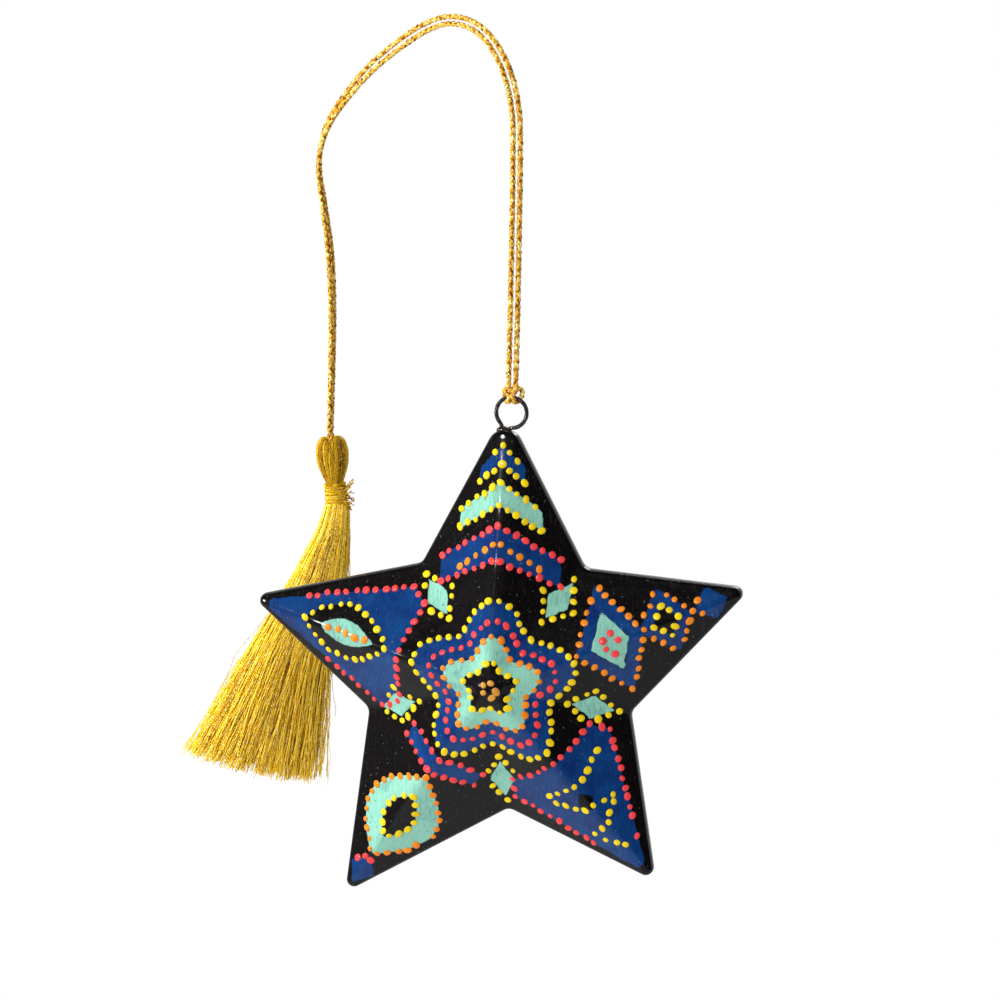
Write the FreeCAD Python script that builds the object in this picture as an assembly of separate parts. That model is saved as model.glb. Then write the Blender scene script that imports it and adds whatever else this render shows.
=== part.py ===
import FreeCAD, Part
import math
import os

# A hollow, ridged five-pointed star of moulded paper. It hangs by a wire eye from a
# doubled metallic cord that arches over the point where it is held and ends in a tassel.
# Millimetres, +Z up, the star's front faces -Y. The origin is the crown of the cord.

Vector = FreeCAD.Vector
ACROSS = Vector(1, 0, 0)
AWAY = Vector(0, 1, 0)
UP = Vector(0, 0, 1)

# Cords, threads and wire are swept with a ring of this many sides. A round side of a
# small turned piece is drawn with this many chords, and the star's rounded corners with
# chords that turn by at most this angle.
ring_sides = 8
turned_chords = 4
corner_chord_angle = 20

# Cord: the middle line of its two strands, from the star's pivot over the crown to the
# tassel's pivot. The first run is pulled straight by the star.
cord_diameter = 1.05
strand_gap = 0.1
cord_route = [
    (14.1, -10.5, -56.4),
    (14.1, -10.5, -18.5),
    (13.0, -9.5, -11.0),
    (10.1, -7.5, -4.8),
    (5.5, -4.0, -0.8),
    (0.0, 0.0, 0.0),
    (-5.0, 3.5, -1.7),
    (-10.2, 7.0, -4.9),
    (-15.7, 10.5, -8.9),
    (-20.7, 13.5, -14.1),
    (-24.7, 16.0, -19.4),
    (-26.3, 17.3, -25.6),
    (-25.1, 17.5, -32.5),
    (-23.7, 17.5, -41.2),
    (-23.2, 17.5, -51.0),
    (-23.2, 17.5, -61.2),
    (-23.3, 17.5, -71.0),
]
# How far the pair is turned about its line at each point: side by side, then in line.
pair_turns = [0, 0, 0, 0, 0, 0, 0, 5, 20, 40, 60, 80, 95, 105, 100, 90, 90]
bend_share = 0.45

# Joints in the cord: a round end that turns in a hollowed one.
joint_radius = 1.15
joint_gap = 0.1

# Star: sharp points and inner corners before rounding, with the unevenness of handwork.
arm_reach = 43.3
arm_reach_shares = [1.007, 1.003, 0.955, 1.067, 1.01]
arm_bearings = [91, 23, -51, -124, -194]
notch_reach = 22.4
notch_reach_shares = [1.011, 0.966, 0.975, 1.038, 1.011]
notch_bearings = [55, -12, -86, -163, -232]
tip_radius = 1.2
eye_tip_radius = 2.8
notch_radius = 2.0
apex_depth = 12.2
rim_half_depth = 1.5
rim_rounding = 0.95
rim_angles = [0, 36, 70]
rim_wall = 2.6
face_wall = 2.4
glue_gap = 0.02

# Paper strip that covers the joint of the two shells, let in flush.
strip_width = 1.2
strip_thickness = 0.35

# Wire eye, bent from one wire whose legs are spread inside the hollow tip.
eye_wire_diameter = 0.65
eye_radius = 2.5
eye_offset = 0.2
left_leg_offset = -1.35
right_leg_offset = -0.35
left_leg_bend = 1.2
right_leg_bend = 0.8
leg_depth = 7.2
leg_spread = 1.0
leg_spread_drop = 1.3
leg_spread_bend = 0.9
bead_radius = 0.8
bead_rise = 0.15

# Hitch: the cord's bight, looped through the eye and round its own strands.
wrap_thread = 0.72
wrap_clearance = 0.14
wrap_spacing = 0.76
collar_thread = 0.92
collar_straight = 0.9
collar_turn_radius = 0.95
stub_length = 2.0

# Tassel head: threads folded over the cord's end knot.
head_lean = -6
head_clearance_above = 1.2
head_radius = 2.75
head_height = 7.7
head_widest_share = 0.42
head_hole_radius = 1.2
neck_radius = 1.45
neck_length = 4.4
knot_radius = 1.5
knot_clearance = 0.15
knot_depth_share = 0.43

# Neck binding: thread wound round the neck.
binding_thread = 0.55
binding_turns = 4
binding_gap = 0.43
binding_arcs_a_turn = 4
binding_clearance = 0.03

# Tuft of the binding's cut ends, as fine tapers from one root.
tuft_root_radius = 0.42
tuft_tip_radius = 0.12
tuft_reach = 2.4
tuft_rises = [-14, 22, 52]
tuft_reach_shares = [1.0, 0.95, 0.8]

# Skirt: hanging threads, as sections from the ball at its top to its cut end.
skirt_ball_radius = 1.95
skirt_socket_gap = 0.1
skirt_length = 45.0
skirt_width = 26.0
skirt_depth = 12.6
skirt_sweep = -13.0
skirt_level_shares = [0.0, 0.08, 0.25, 0.46, 0.72, 1.0]
skirt_width_shares = [0.145, 0.2, 0.41, 0.59, 0.78, 1.0]
skirt_depth_shares = [0.3, 0.35, 0.56, 0.72, 0.87, 1.0]
skirt_sweep_shares = [0.0, 0.07, 0.32, 0.54, 0.76, 1.0]
skirt_end_rise = 4.0
skirt_locks = 16
skirt_groove_share = 0.94


def arc_at_corner(start, corner, end):
    """An arc from start to end, tangent to the two sides that meet at the corner."""
    middle = (start + end) / 2
    half_turn = (corner - start).getAngle(end - start)
    bulge = math.tan(half_turn / 2) / math.tan(half_turn)
    return Part.Arc(start, middle + (corner - middle) * bulge, end).toShape()


def line(start, end):
    return Part.LineSegment(start, end).toShape()


def turn_at(points, i):
    """The change of direction at a point, with the lengths of the runs beside it."""
    before = points[i] - points[i - 1]
    after = points[(i + 1) % len(points)] - points[i]
    return before.getAngle(after), before.Length, after.Length


def rounded_edges(points, cuts, closed):
    """Straight runs joined by tangent arcs that start a cut's length from each corner."""
    count = len(points)
    corners = range(count) if closed else range(1, count - 1)
    arcs = []
    for i in corners:
        before = (points[i - 1] - points[i]).normalize()
        after = (points[(i + 1) % count] - points[i]).normalize()
        arcs.append((points[i] + before * cuts[i], points[i], points[i] + after * cuts[i]))
    edges = []
    last = arcs[-1][2] if closed else points[0]
    for start, corner, end in arcs:
        edges.append(line(last, start))
        edges.append(arc_at_corner(start, corner, end))
        last = end
    if not closed:
        edges.append(line(last, points[-1]))
    return edges


def tube(edges, radius):
    """A many-sided solid along smoothly joined edges, of which the first runs forwards."""
    start = edges[0].valueAt(edges[0].FirstParameter)
    circle = Part.Circle(start, edges[0].tangentAt(edges[0].FirstParameter), radius)
    corners = [circle.value(2 * math.pi * i / ring_sides) for i in range(ring_sides)]
    ring = Part.makePolygon(corners + corners[:1])
    return Part.Wire(edges).makePipeShell([ring], True, False)


def strand_points(side):
    """The route of one strand: the pair's route, moved aside by half the pair's pitch."""
    middle = [Vector(*point) for point in cord_route]
    reach = side * (cord_diameter + strand_gap) / 2
    points = []
    for i, point in enumerate(middle):
        along = (middle[min(i + 1, len(middle) - 1)] - middle[max(i - 1, 0)]).normalize()
        if i in (0, 1):
            along = UP
        if i >= len(middle) - 2:
            along = UP * -1
        aside = along.cross(AWAY).normalize()
        behind = along.cross(aside)
        turn = math.radians(pair_turns[i])
        points.append(point + aside * (reach * math.cos(turn)) + behind * (reach * math.sin(turn)))
    return points


def strand(side, name):
    """One strand of the cord, hollowed at both ends for the joints."""
    points = strand_points(side)
    cuts = [0] * len(points)
    radii = []
    for i in range(1, len(points) - 1):
        turn, before, after = turn_at(points, i)
        cuts[i] = bend_share * min(before, after)
        radii.append(cuts[i] / math.tan(turn / 2))
    print(name, "bend radii", [round(radius, 1) for radius in radii])
    edges = rounded_edges(points, cuts, False)
    solid = tube(edges, cord_diameter / 2)
    length = sum(edge.Length for edge in edges)
    section = ring_sides / 2 * math.sin(2 * math.pi / ring_sides) * cord_diameter**2 / 4
    expected = section * length
    print(name, "length", round(length, 2))
    print(name, "volume", round(solid.Volume, 2), "section x length", round(expected, 2))
    for pivot in (star_pivot, tassel_pivot):
        solid = solid.cut(Part.makeSphere(joint_radius + joint_gap, pivot))
    return solid


def round_ended_stub(offset, pivot, drop):
    """One strand's end below a pivot, with its share of the joint's round top."""
    radius = cord_diameter / 2
    shank = Part.makeCylinder(radius, drop, pivot + offset - UP * drop)
    top = Part.makeCylinder(radius, joint_radius, pivot + offset)
    return shank.fuse(top.common(Part.makeSphere(joint_radius, pivot)))


def star_point(bearing, reach, depth):
    angle = math.radians(bearing)
    return Vector(reach * math.cos(angle), depth, reach * math.sin(angle))


def star_corners(depth):
    """The corners from the star's middle, point then inner corner, at one depth."""
    corners = []
    for i, bearing in enumerate(arm_bearings):
        corners.append(star_point(bearing, arm_reach * arm_reach_shares[i], depth))
        notch = notch_reach * notch_reach_shares[i]
        corners.append(star_point(notch_bearings[i], notch, depth))
    return corners


def corner_points(before, corner, after, radius, inset):
    """Chord ends round one corner of the outline, moved inwards by the inset."""
    back = (before - corner).normalize()
    ahead = (after - corner).normalize()
    half_angle = back.getAngle(ahead) / 2
    bisector = (back + ahead).normalize()
    inward = bisector.dot(corner - AWAY * corner.y) < 0
    if inward and inset >= radius:
        return [corner + bisector * (inset / math.sin(half_angle))]
    centre = corner + bisector * (radius / math.sin(half_angle))
    cut = radius / math.tan(half_angle)
    first, last = corner + back * cut - centre, corner + ahead * cut - centre
    whole = first.getAngle(last)
    chords = math.ceil(math.degrees(whole) / corner_chord_angle)
    reach = (radius - inset if inward else radius + inset) / radius
    points = []
    for i in range(chords + 1):
        start_share = math.sin(whole * (1 - i / chords)) / math.sin(whole)
        end_share = math.sin(whole * i / chords) / math.sin(whole)
        points.append(centre + (first * start_share + last * end_share) * reach)
    return points


def star_outline(depth, inset=0):
    """The rounded outline in its place, at a depth from the star's middle, or one inside it."""
    corners = star_corners(depth)
    radii = [tip_radius, notch_radius] * len(arm_bearings)
    radii[0] = eye_tip_radius
    points = []
    for i, corner in enumerate(corners):
        after = corners[(i + 1) % len(corners)]
        points += corner_points(corners[i - 1], corner, after, radii[i], inset)
    outline = Part.makePolygon(points + points[:1])
    outline.translate(star_centre)
    return outline


def eye_tip_height():
    """Height of the rounded end of the arm with the eye, above the star's middle."""
    corners = star_corners(0)
    half_angle = (math.pi - turn_at(corners, 0)[0]) / 2
    inward = (corners[-1] - corners[0]).normalize() + (corners[1] - corners[0]).normalize()
    middle = corners[0] + inward.normalize() * (eye_tip_radius / math.sin(half_angle))
    return middle.z + eye_tip_radius


def rim_outline(angle):
    """The outline where the rim's rounding has turned by an angle from the joint's wall."""
    turned = math.radians(angle)
    last = math.radians(rim_angles[-1])
    depth = rim_half_depth - rim_rounding * (math.sin(last) - math.sin(turned))
    inset = rim_rounding * (1 - math.cos(turned))
    return star_outline(-depth, inset)


def star_half():
    """The front half of the star's outside: a wall, the rim's rounding and ten facets."""
    rings = [rim_outline(angle) for angle in rim_angles]
    rim = Part.makeLoft([star_outline(0)] + rings, True, True)
    apex = Part.Vertex(star_centre - AWAY * apex_depth)
    facets = Part.makeLoft([rings[-1], apex], True, True)
    return rim.fuse(facets).removeSplitter()


def strip_solid(clearance):
    """The strip round the rim, or, with a clearance, the seat that it is let into."""
    width = strip_width + 2 * clearance
    outline = star_outline(-width / 2)
    inside = star_outline(-width / 2, strip_thickness + clearance)
    band = Part.Face(outline).extrude(AWAY * width)
    return band.cut(Part.Face(inside).extrude(AWAY * width))


def front_shell(outside):
    """A moulded half: the outside less its hollow, the strip's seat and the wire's bed."""
    inner = star_outline(0, rim_wall)
    apex = Part.Vertex(star_centre - AWAY * (apex_depth - face_wall))
    hollow = Part.makeLoft([inner, apex], True, True)
    bed = wire_eye(glue_gap)
    return outside.cut(hollow).cut(strip_solid(glue_gap)).cut(bed)


def eye_point(x, z):
    return Vector(star_centre.x + x, star_centre.y, star_centre.z + z)


def wire_eye(clearance):
    """The eye: two spread legs, and a ring closed by a small bend at the foot of each leg."""
    ring_height = eye_tip_height() + eye_radius + eye_wire_diameter / 2
    foot = eye_tip_height() - leg_depth
    ring = eye_point(eye_offset, ring_height)
    legs = []
    sides = ((left_leg_offset, left_leg_bend, -1), (right_leg_offset, right_leg_bend, 1))
    for leg, bend, side in sides:
        across = leg + side * bend - eye_offset
        drop = math.sqrt((eye_radius + bend) ** 2 - across**2)
        centre = ring + Vector(across, 0, -drop)
        joins = centre + (ring - centre).normalize() * bend
        start = centre - ACROSS * (side * bend)
        midway = ((joins - centre).normalize() + (start - centre).normalize()).normalize()
        spread = eye_point(leg + side * leg_spread, foot - leg_spread_drop)
        knee = eye_point(leg, foot)
        turn = (knee - spread).getAngle(UP)
        cut = leg_spread_bend * math.tan(turn / 2)
        low = knee + (spread - knee).normalize() * cut
        high = knee + UP * cut
        edges = [line(spread, low), arc_at_corner(low, knee, high), line(high, start)]
        edges.append(Part.Arc(start, centre + midway * bend, joins).toShape())
        legs.append((edges, joins))
    (left, left_end), (right, right_end) = legs
    loop = Part.Arc(left_end, ring + UP * eye_radius, right_end).toShape()
    return tube(left + [loop] + right[::-1], eye_wire_diameter / 2 + clearance)


def eye_bead(outside):
    """Lacquer gathered where the left leg enters the tip."""
    middle = eye_point(left_leg_offset, eye_tip_height() + bead_rise)
    return turned_ball(bead_radius, middle).cut(outside).cut(wire_eye(glue_gap))


def racetrack(centre, straight, radius):
    """A closed level path: two straights joined by half circles."""
    half = ACROSS * (straight / 2)
    left, right = centre - half, centre + half
    near, far = AWAY * -radius, AWAY * radius
    return [
        line(left + near, right + near),
        Part.Arc(right + near, right + ACROSS * radius, right + far).toShape(),
        line(right + far, left + far),
        Part.Arc(left + far, left - ACROSS * radius, left + near).toShape(),
    ]


def upright_loop(centre, radius):
    """A circle round the X axis, in two halves."""
    top, bottom = centre + UP * radius, centre - UP * radius
    near, far = centre - AWAY * radius, centre + AWAY * radius
    return [Part.Arc(top, near, bottom).toShape(), Part.Arc(bottom, far, top).toShape()]


def hitch_knot():
    """Two wraps round the eye's wire, a collar round the strands, and the strands' stubs."""
    wrap_radius = (eye_wire_diameter + wrap_thread) / 2 + wrap_clearance
    collar_middle = eye_axis + UP * ((eye_wire_diameter + collar_thread) / 2 + wrap_clearance)
    track = racetrack(collar_middle, collar_straight, collar_turn_radius)
    knot = tube(track, collar_thread / 2)
    for side in (-1, 1):
        middle = eye_axis + ACROSS * (side * wrap_spacing / 2)
        knot = knot.fuse(tube(upright_loop(middle, wrap_radius), wrap_thread / 2))
        offset = ACROSS * (side * (cord_diameter + strand_gap) / 2)
        drop = star_pivot.z - collar_middle.z + collar_thread / 4
        knot = knot.fuse(round_ended_stub(offset, star_pivot, drop))
    return knot.removeSplitter()


def leaned(shape):
    """Turn a piece of the tassel's head about its pivot, as it hangs."""
    turned = shape.copy()
    turned.rotate(tassel_pivot, AWAY, head_lean)
    return turned


def side_points(start, widest):
    """Points of an arc in a turned profile that runs upright where it is widest."""
    rise = start.z - widest.z
    gain = widest.x - start.x
    radius = (rise**2 + gain**2) / (2 * gain)
    centre = Vector(widest.x - radius, 0, widest.z)
    whole = math.atan2(rise, radius - gain)
    angles = [whole * (1 - i / turned_chords) for i in range(turned_chords + 1)]
    return [centre + Vector(radius * math.cos(angle), 0, radius * math.sin(angle)) for angle in angles]


def turned(points, place):
    """A solid turned round an upright axis from a profile that starts and ends on it."""
    profile = Part.Face(Part.makePolygon(points + points[:1]))
    solid = profile.revolve(Vector(), UP, 360)
    solid.translate(Vector(place.x, place.y, 0))
    return solid


def turned_ball(radius, middle):
    top, widest, bottom = (Vector(out, 0, middle.z + up)
                           for out, up in ((0, radius), (radius, 0), (0, -radius)))
    return turned(side_points(top, widest) + side_points(bottom, widest)[-2::-1], middle)


def tassel_head():
    """Folded threads: a bulb with a neck, hollow for the knot, the cord and the skirt."""
    top = tassel_pivot.z - head_clearance_above
    waist = top - head_height
    end = waist - neck_length
    hole = Vector(head_hole_radius, 0, top)
    widest = Vector(head_radius, 0, top - head_height * head_widest_share)
    narrow = Vector(neck_radius, 0, waist)
    sides = side_points(hole, widest) + side_points(narrow, widest)[-2::-1]
    profile = [Vector(0, 0, top)] + sides + [Vector(neck_radius, 0, end), Vector(0, 0, end)]
    bulb = turned(profile, tassel_pivot)
    knot_space = turned_ball(knot_radius + knot_clearance, knot_middle())
    hole_depth = tassel_pivot.z - knot_middle().z
    way = Part.makeCylinder(head_hole_radius, hole_depth, knot_middle())
    socket = turned_ball(skirt_ball_radius + skirt_socket_gap, upright_skirt_pivot())
    return leaned(bulb.cut(knot_space).cut(way).cut(socket))


def knot_middle():
    drop = head_clearance_above + head_height * knot_depth_share
    return tassel_pivot - UP * drop


def upright_skirt_pivot():
    """The ball's middle, so low that the socket's edge meets the end of the neck."""
    socket = skirt_ball_radius + skirt_socket_gap
    below_neck = math.sqrt(socket**2 - neck_radius**2)
    return tassel_pivot - UP * (head_clearance_above + head_height + neck_length + below_neck)


def cord_end_knot():
    """The cord's two ends, knotted together inside the head."""
    middle = knot_middle()
    knot = turned_ball(knot_radius, middle)
    for side in (-1, 1):
        offset = AWAY * (side * (cord_diameter + strand_gap) / 2)
        knot = knot.fuse(round_ended_stub(offset, tassel_pivot, tassel_pivot.z - middle.z))
    return leaned(knot.removeSplitter())


def arc_from(start, direction, end):
    """An arc from start to end that leaves along a direction."""
    chord = end - start
    half_turn = direction.getAngle(chord)
    corner = start + direction * (chord.Length / 2 / math.cos(half_turn))
    return arc_at_corner(start, corner, end)


def biarc(start, leaving, end, arriving):
    """Two tangent arcs from one point and direction to another."""
    chord = end - start
    both = leaving + arriving
    spread = 2 * (1 - leaving.dot(arriving))
    along = chord.dot(both)
    reach = (math.sqrt(along**2 + spread * chord.dot(chord)) - along) / spread
    meeting = (start + leaving * reach + end - arriving * reach) / 2
    first = arc_from(start, leaving, meeting)
    second = arc_at_corner(meeting, end - arriving * reach, end)
    return [first, second]


def binding_point(turns, radius, top, pitch):
    """A point of the winding, and the direction in which it runs there."""
    angle = 2 * math.pi * turns
    place = Vector(radius * math.cos(angle), radius * math.sin(angle), top - pitch * turns)
    slope = Vector(-radius * math.sin(angle), radius * math.cos(angle), -pitch / (2 * math.pi))
    return place, slope.normalize()


def neck_binding():
    """Thread wound down the neck in one unbroken tube with straight ends."""
    pitch = binding_thread + binding_gap
    radius = neck_radius + binding_clearance + binding_thread / 2
    waist = tassel_pivot.z - head_clearance_above - head_height
    spare = neck_length - pitch * binding_turns - binding_thread
    top = waist - binding_thread / 2 - spare / 2
    steps = binding_arcs_a_turn // 2
    turns = [i / steps for i in range(steps * binding_turns + 1)]
    stops = [binding_point(turn, radius, top, pitch) for turn in turns]
    first, leaving = stops[0]
    last, arriving = stops[-1]
    edges = [line(first - leaving * binding_thread, first)]
    for (start, out), (end, into) in zip(stops, stops[1:]):
        edges += biarc(start, out, end, into)
    edges.append(line(last, last + arriving * binding_thread))
    apart = [(edges[i].distToShape(edges[i + binding_arcs_a_turn])[0])
             for i in range(1, len(edges) - 1 - binding_arcs_a_turn)]
    print("binding least gap to itself", round(min(apart) - binding_thread, 3))
    winding = tube(edges, binding_thread / 2)
    winding.translate(Vector(tassel_pivot.x, tassel_pivot.y, 0))
    return leaned(winding)


def tie_tuft():
    """The binding's cut ends, standing out from the neck on the right."""
    waist = tassel_pivot.z - head_clearance_above - head_height
    clear = neck_radius + binding_clearance + binding_thread + tuft_root_radius
    root = Vector(tassel_pivot.x + clear + joint_gap, tassel_pivot.y, waist - neck_length / 2)
    tapers = []
    for rise, share in zip(tuft_rises, tuft_reach_shares):
        angle = math.radians(rise)
        direction = Vector(math.cos(angle), 0, math.sin(angle))
        rings = []
        for place, radius in ((0, tuft_root_radius), (tuft_reach * share, tuft_tip_radius)):
            circle = Part.Circle(root + direction * place, direction, radius)
            corners = [circle.value(2 * math.pi * i / ring_sides) for i in range(ring_sides)]
            rings.append(Part.makePolygon(corners + corners[:1]))
        tapers.append(Part.makeLoft(rings, True, True))
    return leaned(tapers[0].fuse(tapers[1:]))


def skirt_section(i):
    """One oval of the skirt, grooved between the locks of thread, and tipped lower down."""
    level = -skirt_length * skirt_level_shares[i]
    middle = skirt_pivot + Vector(skirt_sweep * skirt_sweep_shares[i], 0, level)
    rise = skirt_end_rise / 2 * skirt_level_shares[i] ** 4
    half_width = Vector(skirt_width * skirt_width_shares[i] / 2, 0, -rise)
    half_depth = AWAY * (skirt_depth * skirt_depth_shares[i] / 2)
    corners = []
    for corner in range(2 * skirt_locks):
        angle = math.pi * corner / skirt_locks
        reach = skirt_groove_share if corner % 2 else 1
        outwards = half_width * math.cos(angle) + half_depth * math.sin(angle)
        corners.append(middle + outwards * reach)
    return corners


def flat_face(corners):
    return Part.Face(Part.makePolygon(corners + corners[:1]))


def facetted(sections):
    """A solid of flat triangles between sections with as many corners each."""
    faces = [flat_face(sections[0]), flat_face(sections[-1])]
    for upper, lower in zip(sections, sections[1:]):
        for i in range(len(upper)):
            after = (i + 1) % len(upper)
            faces.append(flat_face([upper[i], upper[after], lower[after]]))
            faces.append(flat_face([upper[i], lower[after], lower[i]]))
    return Part.makeSolid(Part.makeShell(faces))


def tassel_skirt():
    """The skirt, swelling from its ball to its cut end."""
    sections = [skirt_section(i) for i in range(len(skirt_level_shares))]
    body = facetted(sections)
    return body.fuse(turned_ball(skirt_ball_radius, skirt_pivot)).removeSplitter()


star_pivot = Vector(*cord_route[0])
tassel_pivot = Vector(*cord_route[-1])
hitch_drop = stub_length + collar_thread + eye_wire_diameter / 2 + wrap_clearance
eye_axis = star_pivot - UP * hitch_drop
eye_height = eye_tip_height() + 2 * eye_radius + eye_wire_diameter / 2
star_centre = eye_axis - UP * eye_height - ACROSS * eye_offset
skirt_pivot = leaned(Part.Vertex(upright_skirt_pivot())).Point

front_outside = star_half()
outside = front_outside.fuse(front_outside.mirror(star_centre, AWAY))
front = front_shell(front_outside)

pieces = {
    "front_shell": front,
    "back_shell": front.mirror(star_centre, AWAY),
    "seam_strip": strip_solid(0).cut(wire_eye(glue_gap)),
    "wire_eye": wire_eye(0),
    "eye_bead": eye_bead(outside),
    "hitch_knot": hitch_knot(),
    "left_strand": strand(1, "left_strand"),
    "right_strand": strand(-1, "right_strand"),
    "cord_end_knot": cord_end_knot(),
    "tassel_head": tassel_head(),
    "neck_binding": neck_binding(),
    "tie_tuft": tie_tuft(),
    "tassel_skirt": tassel_skirt(),
}

os.makedirs("parts", exist_ok=True)
for name, shape in pieces.items():
    shape.exportStep(f"parts/{name}.step")
    print(name, "solids", len(shape.Solids), "valid", shape.isValid())
    print(name, "volume", round(shape.Volume, 2))
print("star pivot", star_pivot, "eye axis", eye_axis, "star centre", star_centre)
print("tassel pivot", tassel_pivot, "skirt pivot", skirt_pivot)
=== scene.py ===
import math

import bmesh
import bpy
import numpy as np
from bpy.props import FloatProperty, FloatVectorProperty, IntProperty, PointerProperty
from mathutils import Matrix, Vector


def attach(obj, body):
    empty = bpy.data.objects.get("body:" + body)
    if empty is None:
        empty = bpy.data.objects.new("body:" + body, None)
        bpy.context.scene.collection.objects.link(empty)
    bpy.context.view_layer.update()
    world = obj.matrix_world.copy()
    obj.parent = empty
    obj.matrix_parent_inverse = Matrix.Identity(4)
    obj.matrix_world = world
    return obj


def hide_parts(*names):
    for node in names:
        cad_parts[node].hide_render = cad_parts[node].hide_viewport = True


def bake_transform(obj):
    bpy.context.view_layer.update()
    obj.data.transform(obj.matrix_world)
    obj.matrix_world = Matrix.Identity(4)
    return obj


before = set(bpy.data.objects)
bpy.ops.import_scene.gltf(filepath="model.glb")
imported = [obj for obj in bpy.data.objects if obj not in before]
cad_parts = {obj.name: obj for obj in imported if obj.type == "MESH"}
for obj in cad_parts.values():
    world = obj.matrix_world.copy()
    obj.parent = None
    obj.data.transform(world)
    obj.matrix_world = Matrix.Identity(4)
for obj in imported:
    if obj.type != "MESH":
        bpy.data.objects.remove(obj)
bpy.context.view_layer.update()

bl_info = {
    "name": "Hanging star ornament",
    "version": (1, 0, 0),
    "blender": (4, 5, 0),
    "location": "3D View > Sidebar > Ornament",
    "description": "Makes a lacquered, dotted paper star on a looped metallic cord with a thread tassel",
    "category": "Object",
}

MM = 0.001
TAU = math.tau
AXIS_X, AXIS_Y, UP = Vector((1.0, 0.0, 0.0)), Vector((0.0, 1.0, 0.0)), Vector((0.0, 0.0, 1.0))

# ---------------------------------------------------------------- places, as the CAD has them

STAR_CENTRE = np.array((13.9, -10.5, -105.5306)) * MM
STAR_PIVOT = Vector((14.1, -10.5, -56.4)) * MM
EYE_AXIS = Vector((14.1, -10.5, -59.785)) * MM
TASSEL_PIVOT = Vector((-23.3, 17.5, -71.0)) * MM
SKIRT_PIVOT = Vector((-21.7583, 17.5, -85.6683)) * MM
HEAD_TOP = TASSEL_PIVOT - UP * 1.2 * MM
NECK_TOP = HEAD_TOP - UP * 7.95 * MM
# The head leans as it hangs.
HEAD_TURN = (Matrix.Translation(TASSEL_PIVOT) @ Matrix.Rotation(math.radians(-6.0), 4, "Y")
             @ Matrix.Translation(-TASSEL_PIVOT))

# The line midway between the two strands, in metres.
CORD_ROUTE = [
    (0.0141, -0.0105, -0.0564), (0.0141, -0.0105, -0.0185), (0.0130, -0.0095, -0.0110),
    (0.0101, -0.0075, -0.0048), (0.0055, -0.0040, -0.0008), (0.0, 0.0, 0.0),
    (-0.0050, 0.0035, -0.0017), (-0.0102, 0.0070, -0.0049), (-0.0157, 0.0105, -0.0089),
    (-0.0207, 0.0135, -0.0141), (-0.0247, 0.0160, -0.0194), (-0.0263, 0.0173, -0.0256),
    (-0.0251, 0.0175, -0.0325), (-0.0237, 0.0175, -0.0412), (-0.0232, 0.0175, -0.0510),
    (-0.0232, 0.0175, -0.0612), (-0.0233, 0.0175, -0.0710),
]
# How far the pair of strands is turned about the cord's line at each of its points, in degrees.
PAIR_TURNS = [0, 0, 0, 0, 0, 0, 0, 5, 20, 40, 60, 80, 95, 105, 100, 90, 90]
# The cord is drawn tighter in the hitch and the knot, in metres.
KNOTTED_CORD_RADIUS = 0.00042

# The star's outline, by bearings in degrees and reaches in millimetres.
ARM_BEARINGS = [91, 23, -51, -124, -194]
ARM_SHARES = [1.007, 1.003, 0.955, 1.067, 1.01]
NOTCH_BEARINGS = [55, -12, -86, -163, -232]
NOTCH_SHARES = [1.011, 0.966, 0.975, 1.038, 1.011]
ARM_REACH = 43.3
NOTCH_REACH = 22.4
TIP_RADIUS = 1.2
EYE_TIP_RADIUS = 2.8
NOTCH_RADIUS = 2.0
RIM_HALF_DEPTH = 1.5
RIM_ROUNDING = 0.95
RIM_LAST_ANGLE = math.radians(70.0)
EYE_RING_RADIUS = 2.5
WIRE_RADIUS = 0.34

# Radius and drop, in millimetres, down the tassel's head and neck.
HEAD_PROFILE = [(0.75, 1.6), (1.05, 0.35), (1.5, 0.06), (2.0, 0.35), (2.45, 1.2), (2.68, 2.4), (2.66, 3.6),
                (2.45, 4.8), (2.05, 6.0), (1.6, 7.1), (1.36, 8.0), (1.34, 10.0), (1.36, 12.1)]
# Shares of the skirt's width, depth and sweep at levels down it.
SKIRT_LEVELS = (0, 0.06, 0.13, 0.25, 0.4, 0.58, 0.8, 1)
SKIRT_FORM = [list(zip(SKIRT_LEVELS, shares)) for shares in (
    (0.15, 0.22, 0.285, 0.39, 0.49, 0.62, 0.815, 1), (0.3, 0.38, 0.47, 0.58, 0.69, 0.8, 0.91, 1),
    (0, 0.055, 0.115, 0.225, 0.395, 0.60, 0.81, 1))]

# ---------------------------------------------------------------- surfaces, threads and stage

OUTLINE_STEP = 0.72
RIM_STEPS = 9
FACE_RINGS = 64
# Shares of the ridge softness at which the facets are sampled, and samples round each.
RIDGE_SAMPLES = ((0.5, 8), (1.0, 14))
# Distances in from the rim over which the softness and the swelling set in.
RIM_BLEND, SWELL_BLEND = 1.8, 5.0
# Round the paper strip's section: its depth and how far it stands out of the rim.
STRIP_SECTION = ((-0.56, -0.30), (-0.60, 0.0), (-0.52, 0.045), (-0.2, 0.06), (0.2, 0.06), (0.52, 0.045),
                 (0.60, 0.0), (0.56, -0.30))
# The farthest distance from a paint's edge that is told apart.
EDGE_REACH = 3.0
# How far a dot strays from its row, and the least it keeps from other dots and from the outline.
DOT_STRAY, DOT_LEAST_SPACING, DOT_EDGE_MARGIN = 0.10, 1.12, 1.5
# The dots are laid at this depth and then carried in to the face.
RAY_START = 20
INKS = {"yellow": (0.75, 0.55, 0.001), "coral": (0.78, 0.047, 0.052), "orange": (0.78, 0.215, 0.004),
        "ochre": (0.55, 0.25, 0.035)}

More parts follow.
